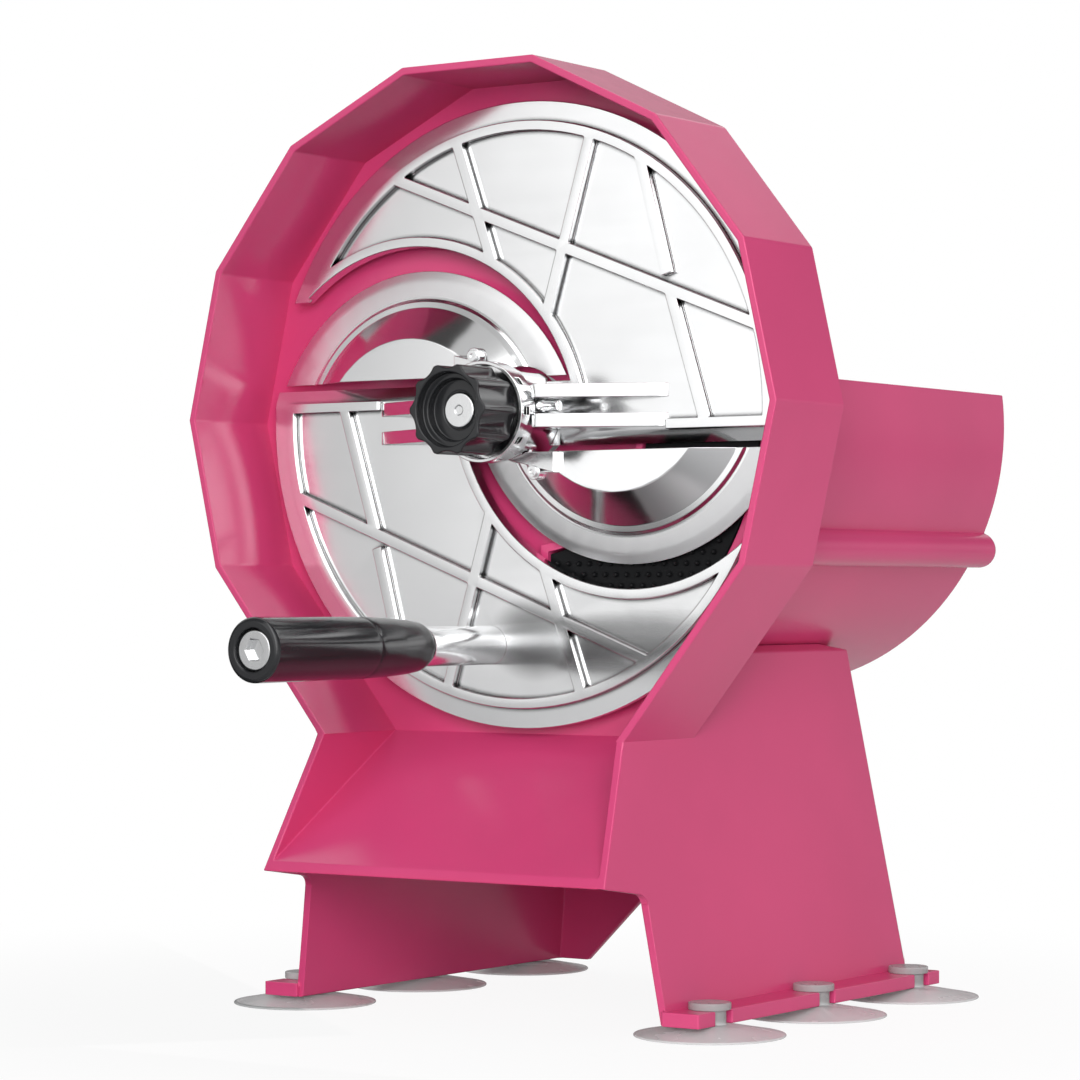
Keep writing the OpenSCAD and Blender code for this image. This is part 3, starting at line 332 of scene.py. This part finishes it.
def moulded_plastic(colour, name, dullness, shine, grain_depth):
    """Moulded plastic: soft grain, a slight sheen change and dust in the fine grain."""
    f = Finish(name)
    place = f.place()
    grain = f.noise(place, 1100, 2)
    tone = f.noise(place, 30, 3)
    return f.dress(
        {
            "Base Color": f.mix(tone, colour, shade(colour, 1.35)),
            "Roughness": dullness + 0.10 * tone + 0.05 * grain,
            "Normal": f.bump(grain, grain_depth, 0.4),
            "Specular IOR Level": shine,
        }
    )


def clear_rubber(colour):
    """Clear grey rubber that lets some of the table through, lighter at the skirt and darker
    towards the head.
    """
    f = Finish("clear_rubber")
    place = f.place()
    tone = f.noise(place, 60, 3)
    # The colour darkens with height, from the skirt up to the head
    neck = f.ramp(f.part(place, "Z"), 3 * MM, 7 * MM, 0.0, 0.8)
    ripple = f.noise(place, 240, 2)
    return f.dress(
        {
            "Base Color": f.mix(neck + 0.3 * tone, shade(colour, 1.25), shade(colour, 0.7)),
            "Roughness": 0.20 + 0.12 * tone,
            "Normal": f.bump(ripple, 0.00008, 0.3),
            "Alpha": 0.62 + 0.12 * tone,
            "IOR": 1.42,
        }
    )


def bearing_bronze(colour):
    """Turned bronze with darker oil stains."""
    f = Finish("bearing_bronze")
    place = f.place()
    stain = f.ramp(f.noise(place, 90, 4), 0.4, 0.7)
    marks = f.noise(place, 1500, 2, stretch=(1, 0.15, 1))
    return f.dress(
        {
            "Base Color": f.mix(stain, colour, shade(colour, 0.65)),
            "Metallic": 1.0,
            "Roughness": 0.24 + 0.18 * stain,
            "Normal": f.bump(marks, 0.00002, 0.3),
        }
    )


def cast_alloy(colour):
    """Sand-cast alloy, left as cast: satin, with a fine rough skin."""
    f = Finish("cast_alloy")
    place = f.place()
    skin = f.noise(place, 700, 4)
    patch = f.noise(place, 50, 3)
    return f.dress(
        {
            "Base Color": f.mix(patch, colour, shade(colour, 0.8)),
            "Metallic": 1.0,
            "Roughness": 0.36 + 0.16 * patch,
            "Normal": f.bump(skin, 0.00012, 0.5),
        }
    )


# Mesh tools


def coat(piece, material):
    """Gives a piece its finish."""
    if piece.material_slots:
        for one in piece.material_slots:
            one.material = material
    else:
        piece.data.materials.append(material)


def soften(node, width, material, angle=28, segments=3, flatten=True):
    """Rounds the edges of a CAD node with modifiers, so that they catch the light."""
    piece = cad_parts[node]
    weld = piece.modifiers.new("Weld", "WELD")
    weld.merge_threshold = WELD
    if flatten:
        flat = piece.modifiers.new("Flat faces", "DECIMATE")
        flat.decimate_type = "DISSOLVE"
        flat.angle_limit = math.radians(0.4)
    round_edges(piece, width, angle, segments)
    normals = piece.modifiers.new("Normals", "WEIGHTED_NORMAL")
    normals.weight = 100
    normals.keep_sharp = False
    coat(piece, material)


def round_edges(piece, width, angle, segments):
    """Bevels the edges sharper than an angle in degrees, or those with a bevel weight."""
    bevel = piece.modifiers.new("Rounding", "BEVEL")
    bevel.width = width
    bevel.segments = segments
    bevel.limit_method = "ANGLE" if angle else "WEIGHT"
    if angle:
        bevel.angle_limit = math.radians(angle)
    bevel.use_clamp_overlap = False
    bevel.miter_outer = "MITER_ARC"


def keep_piece(name, mesh, body, material, smooth=True):
    """Makes an object of a bmesh, dresses it and makes it ride on a body."""
    data = bpy.data.meshes.new(name)
    bmesh.ops.recalc_face_normals(mesh, faces=mesh.faces)
    mesh.to_mesh(data)
    mesh.free()
    for face in data.polygons:
        face.use_smooth = smooth
    piece = bpy.data.objects.new(name, data)
    bpy.context.scene.collection.objects.link(piece)
    coat(piece, material)
    if body:
        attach(piece, body)
    return piece


def turned(mesh, profile, centre, sides=96):
    """Adds a shape turned round the line along Y through centre, from (radius, depth) points."""
    rings = []
    for radius, depth in profile:
        if radius < 1e-7:
            rings.append([mesh.verts.new((centre.x, depth, centre.z))])
            continue
        ring = []
        for i in range(sides):
            turn = 2 * math.pi * i / sides
            ring.append(
                mesh.verts.new(
                    (
                        centre.x + radius * math.cos(turn),
                        depth,
                        centre.z + radius * math.sin(turn),
                    )
                )
            )
        rings.append(ring)
    for first, second in zip(rings, rings[1:]):
        for i in range(sides):
            j = (i + 1) % sides
            a = first[i % len(first)], first[j % len(first)]
            b = second[j % len(second)], second[i % len(second)]
            corners = list(dict.fromkeys((*a, *b)))
            if len(corners) > 2:
                mesh.faces.new(corners)


# Settings


class SlicerColours(bpy.types.PropertyGroup):
    """The colours of the slicer's finishes."""

    enamel: bpy.props.FloatVectorProperty(
        name="Enamel",
        description="Colour of the drum, the stand and the trough",
        subtype="COLOR",
        size=3,
        min=0,
        max=1,
        default=(0.66, 0.062, 0.195),
    )
    alloy: bpy.props.FloatVectorProperty(
        name="Alloy",
        description="Colour of the polished disc",
        subtype="COLOR",
        size=3,
        min=0,
        max=1,
        default=(0.90, 0.905, 0.91),
    )
    steel: bpy.props.FloatVectorProperty(
        name="Steel",
        description="Colour of the blades, the stem and the screws",
        subtype="COLOR",
        size=3,
        min=0,
        max=1,
        default=(0.91, 0.915, 0.92),
    )
    plastic: bpy.props.FloatVectorProperty(
        name="Plastic",
        description="Colour of the knob, the grip and the pusher",
        subtype="COLOR",
        size=3,
        min=0,
        max=1,
        default=(0.016, 0.0165, 0.018),
    )
    rubber: bpy.props.FloatVectorProperty(
        name="Rubber",
        description="Colour of the suction cups",
        subtype="COLOR",
        size=3,
        min=0,
        max=1,
        default=(0.60, 0.61, 0.61),
    )
    bronze: bpy.props.FloatVectorProperty(
        name="Bronze",
        description="Colour of the bushes and the knob's nut",
        subtype="COLOR",
        size=3,
        min=0,
        max=1,
        default=(0.72, 0.48, 0.22),
    )


class SlicerSizes(bpy.types.PropertyGroup):
    """The sizes of details that the CAD leaves to the scene."""

    shell_edge: bpy.props.FloatProperty(
        name="Shell edge",
        description="Rounding of the drum's, the stand's and the trough's edges",
        unit="LENGTH",
        default=0.0006,
        min=0,
        max=0.0015,
    )
    rib_edge: bpy.props.FloatProperty(
        name="Rib edge",
        description="Rounding of the ribs and beads on the disc",
        unit="LENGTH",
        default=0.00035,
        min=0,
        max=0.0015,
    )
    blade_edge: bpy.props.FloatProperty(
        name="Blade edge",
        description="Rounding of the blades' pressed forms",
        unit="LENGTH",
        default=0.00018,
        min=0,
        max=0.0004,
    )
    small_edge: bpy.props.FloatProperty(
        name="Small edge",
        description="Rounding of the small turned pieces and screws",
        unit="LENGTH",
        default=0.0003,
        min=0,
        max=0.0006,
    )
    cup_edge: bpy.props.FloatProperty(
        name="Cup edge",
        description="Rounding of the suction cups' edges",
        unit="LENGTH",
        default=0.0004,
        min=0,
        max=0.0006,
    )
    stud_pitch: bpy.props.FloatProperty(
        name="Stud pitch",
        description="Distance between the studs on the pusher's face",
        unit="LENGTH",
        default=0.0050,
        min=0.003,
        max=0.01,
    )
    stud_height: bpy.props.FloatProperty(
        name="Stud height",
        description="Height of the studs on the pusher's face",
        unit="LENGTH",
        default=0.0018,
        min=0.0005,
        max=0.002,
    )
    spring_wire: bpy.props.FloatProperty(
        name="Spring wire",
        description="Thickness of the spring's wire",
        unit="LENGTH",
        default=0.0014,
        min=0.0008,
        max=0.0016,
    )


class SlicerStage(bpy.types.PropertyGroup):
    """The studio's settings."""

    floor: bpy.props.FloatVectorProperty(
        name="Floor",
        description="Colour of the floor",
        subtype="COLOR",
        size=3,
        min=0,
        max=1,
        default=(0.86, 0.86, 0.87),
    )
    sky_light: bpy.props.FloatProperty(
        name="Room light",
        description="Strength of the light from all around",
        default=0.40,
        min=0,
        max=2,
    )
    lens: bpy.props.FloatProperty(
        name="Lens",
        description="Focal length on a 36 mm sensor",
        unit="CAMERA",
        default=118.7,
        min=20,
        max=300,
    )


def colours():
    return bpy.context.scene.slicer_colours


def sizes():
    return bpy.context.scene.slicer_sizes


def finish_named(name, maker, *values):
    """Makes a material once, and finds it again for the next piece."""
    return bpy.data.materials.get(name) or maker(*values)


def enamel_finish():
    return finish_named("pink_enamel", enamel, tuple(colours().enamel))


def alloy_finish():
    return finish_named("polished_alloy", polished_alloy, tuple(colours().alloy))


def steel_finish():
    return finish_named("bright_steel", bright_steel, tuple(colours().steel))


def gloss_finish():
    name, black = "gloss_plastic", tuple(colours().plastic)
    return finish_named(name, moulded_plastic, black, name, 0.08, 0.45, 0.00001)


def satin_finish():
    name, black = "satin_plastic", shade(colours().plastic, 0.4)
    return finish_named(name, moulded_plastic, black, name, 0.3, 0.12, 0.00004)


def rubber_finish():
    return finish_named("clear_rubber", clear_rubber, tuple(colours().rubber))


def bronze_finish():
    return finish_named("bearing_bronze", bearing_bronze, tuple(colours().bronze))


def cast_finish():
    return finish_named("cast_alloy", cast_alloy, (0.56, 0.57, 0.58))


# Pieces


class SLICER_OT_shell(bpy.types.Operator):
    """Dress the drum, the stand and the trough in enamel"""

    bl_idname = "slicer.shell"
    bl_label = "Drum, stand and trough"

    def execute(self, context):
        casting = self.cast_together("drum_housing", "base_stand")
        round_edges(casting, sizes().shell_edge, None, 4)
        soften("feed_hopper", sizes().shell_edge, enamel_finish(), flatten=False)
        coat(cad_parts["back_plate"], enamel_finish())
        return {"FINISHED"}

    @staticmethod
    def cast_together(first, second):
        """One piece of two nodes of the same casting, so that no seam shows between them."""
        parts = []
        for node in (first, second):
            mesh = bmesh.new()
            mesh.from_mesh(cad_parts[node].data)
            bmesh.ops.remove_doubles(mesh, verts=mesh.verts, dist=WELD)
            parts.append(keep_piece(f"{node}_copy", mesh, None, enamel_finish()))
        union = parts[0].modifiers.new("Union", "BOOLEAN")
        union.operation = "UNION"
        union.object = parts[1]
        shape = parts[0].evaluated_get(bpy.context.evaluated_depsgraph_get()).to_mesh()
        mesh = bmesh.new()
        mesh.from_mesh(shape)
        for part in parts:
            bpy.data.objects.remove(part)
        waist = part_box(first)[0].z
        weight = mesh.edges.layers.float.new("bevel_weight_edge")
        for edge in mesh.edges:
            seam = all(abs(point.co.z - waist) < WELD for point in edge.verts)
            sharp = edge.calc_face_angle(0) > CREASE
            short = edge.calc_length() < SHORT_EDGE
            edge[weight] = 1.0 if sharp and not seam and not short else 0.0
        casting = keep_piece(
            "drum_and_stand", mesh, "housing", enamel_finish(), smooth=False
        )
        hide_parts(first, second)
        return casting


class SLICER_OT_disc(bpy.types.Operator):
    """Dress the slicing disc, its index ring and the detent plunger"""

    bl_idname = "slicer.disc"
    bl_label = "Slicing disc"

    def execute(self, context):
        soften("slicing_disc", sizes().rib_edge, alloy_finish(), flatten=False)
        soften("disc_hub", sizes().rib_edge, alloy_finish(), flatten=False)
        soften("index_ring", sizes().small_edge, steel_finish())
        soften("detent_plunger", sizes().small_edge, steel_finish())
        return {"FINISHED"}


class SLICER_OT_blades(bpy.types.Operator):
    """Dress the two blades, their carrier and its screws"""

    bl_idname = "slicer.blades"
    bl_label = "Blades"

    def execute(self, context):
        offset = self.dish_centre() - AXLE
        steel = tuple(colours().steel)
        # The sector and depth place each blade's painted dark reflection on its cone
        lower = blade_steel(steel, AXLE + offset, math.radians(-82), 0.75, "blade_steel_lower")
        upper = blade_steel(steel, AXLE - offset, math.radians(60), 0.6, "blade_steel_upper")
        for node, material in (("blade_lower", lower), ("blade_upper", upper)):
            soften(node, sizes().blade_edge, material, angle=20, segments=2, flatten=False)
        soften("blade_carrier", sizes().small_edge, alloy_finish())
        soften("blade_screws", sizes().small_edge / 2, steel_finish())
        return {"FINISHED"}

    @staticmethod
    def dish_centre():
        """The centre of the lower blade's dish, from the circle through its chord's ends."""
        low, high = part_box("blade_lower")
        half, rise = (high.x - low.x) / 2, high.z - low.z
        radius = (half**2 + rise**2) / (2 * rise)
        centre = Vector(((low.x + high.x) / 2, low.y, low.z + radius))
        return centre + Vector(DISH_SHIFT)


class SLICER_OT_axle(bpy.types.Operator):
    """Dress the spindle, its bushes, the bearing housing and the fasteners"""

    bl_idname = "slicer.axle"
    bl_label = "Axle and bearing"

    def execute(self, context):
        edge = sizes().small_edge
        for node in ("spindle", "drive_pin", "rear_washer", "spindle_nut"):
            soften(node, edge, steel_finish())
        for node in ("front_bush", "rear_bush", "thrust_washer"):
            soften(node, edge, bronze_finish())
        for node in ("bearing_screws", "hopper_screws"):
            soften(node, edge, steel_finish())
        soften("bearing_housing", edge * 2, cast_finish())
        soften("rear_cap", edge * 2, satin_finish())
        return {"FINISHED"}


class SLICER_OT_spring(bpy.types.Operator):
    """Wind the spring between the carrier and the disc's hub"""

    bl_idname = "slicer.spring"
    bl_label = "Disc spring"

    turns: bpy.props.FloatProperty(
        name="Turns", description="Turns of the wire", default=2.75, min=1, max=6
    )

    def execute(self, context):
        wire = sizes().spring_wire / 2
        low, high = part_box("disc_spring")
        radius = (high.x - low.x) / 2 - wire
        front, rear = low.y + wire, high.y - wire
        per_turn, sides = 32, 10
        steps = int(self.turns * per_turn)
        mesh = bmesh.new()
        rings = []
        for i in range(steps + 1):
            turn = 2 * math.pi * self.turns * i / steps
            out = Vector((math.cos(turn), 0, math.sin(turn)))
            centre = Vector((AXLE.x, front + (rear - front) * i / steps, AXLE.z)) + out * radius
            ring = []
            for j in range(sides):
                around = 2 * math.pi * j / sides
                offset = out * math.cos(around) + Vector((0, math.sin(around), 0))
                ring.append(mesh.verts.new(centre + offset * wire))
            rings.append(ring)
        for first, second in zip(rings, rings[1:]):
            for j in range(sides):
                k = (j + 1) % sides
                mesh.faces.new((first[j], first[k], second[k], second[j]))
        mesh.faces.new(rings[0])
        mesh.faces.new(rings[-1])
        steel = tuple(colours().steel)
        material = finish_named("spring_steel", bright_steel, steel, "spring_steel", 0.24)
        spring = keep_piece("wound_spring", mesh, None, material)
        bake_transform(spring)
        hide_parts("disc_spring")
        return {"FINISHED"}


class SLICER_OT_knob(bpy.types.Operator):
    """Dress the adjusting knob, its nut and its cap"""

    bl_idname = "slicer.knob"
    bl_label = "Adjusting knob"

    def execute(self, context):
        soften("adjusting_knob", sizes().small_edge * 2, gloss_finish())
        soften("knob_insert", sizes().small_edge, bronze_finish())
        soften("knob_cap", sizes().small_edge, steel_finish())
        return {"FINISHED"}


class SLICER_OT_crank(bpy.types.Operator):
    """Dress the crank handle: its stem, its grip and its screws"""

    bl_idname = "slicer.crank"
    bl_label = "Crank handle"

    def execute(self, context):
        edge = sizes().small_edge
        for node in ("handle_stem", "stem_screw", "grip_screw"):
            soften(node, edge, steel_finish())
        soften("handle_grip", edge * 2, gloss_finish())
        return {"FINISHED"}


class SLICER_OT_pusher(bpy.types.Operator):
    """Dress the pusher and cover its face with studs"""

    bl_idname = "slicer.pusher"
    bl_label = "Food pusher"

    def execute(self, context):
        edge = sizes().small_edge
        soften("pusher_block", edge * 2, satin_finish())
        soften("pusher_carriage", edge, satin_finish())
        soften("pusher_handle", edge * 2, gloss_finish())
        soften("guide_rod", edge, steel_finish())
        soften("pusher_screws", edge, steel_finish())
        low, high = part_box("pusher_block")
        pitch, height = sizes().stud_pitch, sizes().stud_height
        nearest, farthest = PUSHER_INNER + STUD_MARGIN, high.x - AXLE.x - STUD_MARGIN
        mesh = bmesh.new()
        row_gap = pitch * math.sqrt(3) / 2
        for row in range(int((high.z - low.z) / row_gap) + 1):
            z = low.z + STUD_MARGIN + row * row_gap
            shift = pitch / 2 if row % 2 else 0
            for column in range(int((high.x - low.x) / pitch) + 1):
                x = low.x + STUD_MARGIN + shift + column * pitch
                reach = math.hypot(x - AXLE.x, z - AXLE.z)
                inside = x < high.x - STUD_MARGIN and z < high.z - STUD_MARGIN
                if inside and nearest < reach < farthest:
                    self.add_stud(mesh, Vector((x, low.y, z)), height)
        keep_piece("pusher_studs", mesh, "pusher", satin_finish())
        return {"FINISHED"}

    @staticmethod
    def add_stud(mesh, foot, height):
        """A low stud with a rounded tip that points forward."""
        wide, middling, narrow = STUD_RADII
        profile = [
            (wide, foot.y + STUD_ROOT),
            (middling, foot.y - height * 0.5),
            (narrow, foot.y - height * 0.9),
            (0, foot.y - height),
        ]
        turned(mesh, profile, foot, sides=8)


class SLICER_OT_cups(bpy.types.Operator):
    """Dress the six suction cups in clear rubber"""

    bl_idname = "slicer.cups"
    bl_label = "Suction cups"

    def execute(self, context):
        for row in ("front", "middle", "rear"):
            for side in ("left", "right"):
                soften(f"cup_{row}_{side}", sizes().cup_edge, rubber_finish(), angle=35)
        return {"FINISHED"}


# Stage


class SLICER_OT_stage(bpy.types.Operator):
    """Set the floor, the room's light, the lamps and the camera"""

    bl_idname = "slicer.stage"
    bl_label = "Stage, lights and camera"

    def execute(self, context):
        stage = context.scene.slicer_stage
        context.scene.view_settings.view_transform = "Standard"
        self.add_floor(tuple(stage.floor))
        self.add_room(stage.sky_light)
        self.add_lamp("key_lamp", (1.05, -1.65, 0.5), 33, 1.0)
        self.add_lamp("fill_lamp", (-1.2, -1.5, 1.2), 4, 1.0)
        self.add_lamp("top_lamp", (0.3, 0.4, 1.9), 7, 1.4)
        self.add_card("floor_card", (-0.761, -0.421), (0.8, 1.4), -38, True)
        self.add_card("bounce_card", (0.3, -0.95), (1.4, 1.5), 0, False)
        self.add_camera(stage.lens)
        return {"FINISHED"}

    @staticmethod
    def add_card(name, place, size, turn, mirrored):
        """A dark card on the floor that the camera doesn't see. It takes light from below away,
        and a mirrored one also darkens what shiny pieces reflect."""
        f = Finish(name)
        speck = f.noise(f.place(), 12, 2)
        f.dress({"Base Color": (0.02, 0.02, 0.022, 1.0), "Roughness": 0.7 + 0.2 * speck})
        mesh = bmesh.new()
        bmesh.ops.create_grid(mesh, x_segments=1, y_segments=1, size=0.5)
        bmesh.ops.scale(mesh, vec=(*size, 1), verts=mesh.verts)
        card = keep_piece(name, mesh, None, f.material, smooth=False)
        card.location = (*place, 0.001)
        card.rotation_euler.z = math.radians(turn)
        card.visible_camera = False
        card.visible_glossy = mirrored
        card.visible_shadow = False

    @staticmethod
    def add_floor(colour):
        """A wide pale floor that keeps the object's shadow and fades to white far off."""
        f = Finish("pale_floor")
        place = f.place()
        x, y = f.part(place, "X"), f.part(place, "Y")
        distance = (x * x + y * y) ** 0.5
        speck = f.noise(place, 300, 2)
        seen = f.add("ShaderNodeLightPath", output="Is Camera Ray")
        far = f.ramp(distance, 0.15, 0.45, 0.92, 1.0)
        matt = f.add(
            "ShaderNodeBsdfPrincipled",
            inputs={"Base Color": (*colour, 1.0), "Roughness": 0.5 + 0.1 * speck},
        )
        glow = f.add("ShaderNodeEmission", inputs={"Color": (1, 1, 1, 1), "Strength": 1.0})
        mixed = f.add("ShaderNodeMixShader", inputs={0: seen * far, 1: matt, 2: glow})
        f.add("ShaderNodeOutputMaterial", inputs={"Surface": mixed})
        mesh = bmesh.new()
        bmesh.ops.create_grid(mesh, x_segments=8, y_segments=8, size=6)
        floor = keep_piece("floor", mesh, None, f.material, smooth=False)

    @staticmethod
    def add_room(strength):
        """White behind the object. Reflections see bright sheets in a dim room, and the plain
        light from all around is even."""
        world = bpy.data.worlds.new("studio")
        bpy.context.scene.world = world
        world.use_nodes = True
        f = Finish("studio", world.node_tree)
        path = f.add("ShaderNodeLightPath")
        node = path.socket.node
        seen = Wire(f, node.outputs["Is Camera Ray"])
        glossy = Wire(f, node.outputs["Is Glossy Ray"])
        through = Wire(f, node.outputs["Is Transmission Ray"])
        direct = f.add("ShaderNodeMath", {"operation": "MAXIMUM"}, {0: seen, 1: through})
        toward = f.add("ShaderNodeTexCoord", output="Generated")
        side, height = f.part(toward, "X"), f.part(toward, "Z")
        front = -1.0 * f.part(toward, "Y")
        slope = f.add("ShaderNodeMath", {"operation": "ABSOLUTE"}, {0: height})
        # The angle in radians from the front towards the right
        azimuth = f.add("ShaderNodeMath", {"operation": "ARCTAN2"}, {0: side, 1: front})
        # The front sheet leans at its left border, and is brighter where the camera stands
        border = azimuth - f.ramp(slope, 0.3, 0.8, 0.0, 0.3)
        beside = f.add("ShaderNodeMath", {"operation": "ABSOLUTE"}, {0: azimuth - CAMERA_AZIMUTH})
        sheet = f.ramp(border, -0.65, -0.595) * f.ramp(azimuth, 1.5, 1.0)
        sheet = sheet * f.ramp(beside, 0.14, 0.36, 3.4, 1.0)
        # A second sheet hangs above, behind and on the left
        above = f.ramp(height, 0.3, 0.5) * f.ramp(front, 0.1, -0.2) * f.ramp(side, 0.15, -0.1)
        lit = f.add("ShaderNodeMath", {"operation": "MAXIMUM"}, {0: sheet, 1: above})
        # The rest is dim, a little less so near the horizon
        dim = 0.13 + f.ramp(slope, 0.35, 0.15) * f.ramp(azimuth, -0.82, -0.70) * 0.37
        mirrored = dim + (1.25 - dim) * lit
        plain = (1 - direct) * (1 - glossy) * strength
        level = direct + (1 - direct) * glossy * mirrored + plain
        sky = f.add("ShaderNodeBackground", inputs={"Color": (1, 1, 1, 1), "Strength": level})
        f.add("ShaderNodeOutputWorld", inputs={"Surface": sky})

    @staticmethod
    def add_lamp(name, place, power, size):
        """A square soft box that points at the machine's middle. No reflection shows it."""
        lamp = bpy.data.lights.new(name, "AREA")
        lamp.energy = power
        lamp.size = size
        holder = bpy.data.objects.new(name, lamp)
        bpy.context.scene.collection.objects.link(holder)
        holder.visible_glossy = False
        holder.location = place
        aim = Vector(STAGE_MIDDLE) - Vector(place)
        holder.rotation_mode = "QUATERNION"
        holder.rotation_quaternion = aim.to_track_quat("-Z", "Y")

    @staticmethod
    def add_camera(lens):
        """The camera where the picture was taken from."""
        level = math.cos(CAMERA_ELEVATION)
        back = Vector(
            (
                math.sin(CAMERA_AZIMUTH) * level,
                -math.cos(CAMERA_AZIMUTH) * level,
                math.sin(CAMERA_ELEVATION),
            )
        )
        right = Vector((math.cos(CAMERA_AZIMUTH), math.sin(CAMERA_AZIMUTH), 0))
        up = back.cross(right)
        camera = bpy.data.cameras.new("camera")
        camera.lens = lens
        camera.sensor_width = 36
        camera.clip_start, camera.clip_end = 0.05, 50
        holder = bpy.data.objects.new("camera", camera)
        bpy.context.scene.collection.objects.link(holder)
        turn = Matrix((right, up, back)).transposed().to_4x4()
        holder.matrix_world = Matrix.Translation(CAMERA_PLACE) @ turn
        bpy.context.scene.camera = holder


PIECES = (
    SLICER_OT_shell,
    SLICER_OT_disc,
    SLICER_OT_blades,
    SLICER_OT_axle,
    SLICER_OT_spring,
    SLICER_OT_knob,
    SLICER_OT_crank,
    SLICER_OT_pusher,
    SLICER_OT_cups,
    SLICER_OT_stage,
)


class SLICER_PT_panel(bpy.types.Panel):
    """Lists the slicer's settings and pieces"""

    bl_idname = "SLICER_PT_panel"
    bl_label = "Rotary slicer"
    bl_space_type = "VIEW_3D"
    bl_region_type = "UI"
    bl_category = "Slicer"

    def draw(self, context):
        for group in ("slicer_colours", "slicer_sizes", "slicer_stage"):
            settings = getattr(context.scene, group)
            column = self.layout.column(heading=group)
            for name in settings.__annotations__:
                column.prop(settings, name)
        for operator in PIECES:
            self.layout.operator(operator.bl_idname)


CLASSES = (SlicerColours, SlicerSizes, SlicerStage, *PIECES, SLICER_PT_panel)


def register():
    for one in CLASSES:
        bpy.utils.register_class(one)
    bpy.types.Scene.slicer_colours = bpy.props.PointerProperty(type=SlicerColours)
    bpy.types.Scene.slicer_sizes = bpy.props.PointerProperty(type=SlicerSizes)
    bpy.types.Scene.slicer_stage = bpy.props.PointerProperty(type=SlicerStage)


def unregister():
    del bpy.types.Scene.slicer_stage
    del bpy.types.Scene.slicer_sizes
    del bpy.types.Scene.slicer_colours
    for one in reversed(CLASSES):
        bpy.utils.unregister_class(one)


def main():
    """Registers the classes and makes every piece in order."""
    register()
    for operator in PIECES:
        group, name = operator.bl_idname.split(".")
        result = getattr(getattr(bpy.ops, group), name)()
        if "FINISHED" not in result:
            raise RuntimeError(f"{operator.bl_label} didn't finish")


if __name__ == "__main__":
    main()
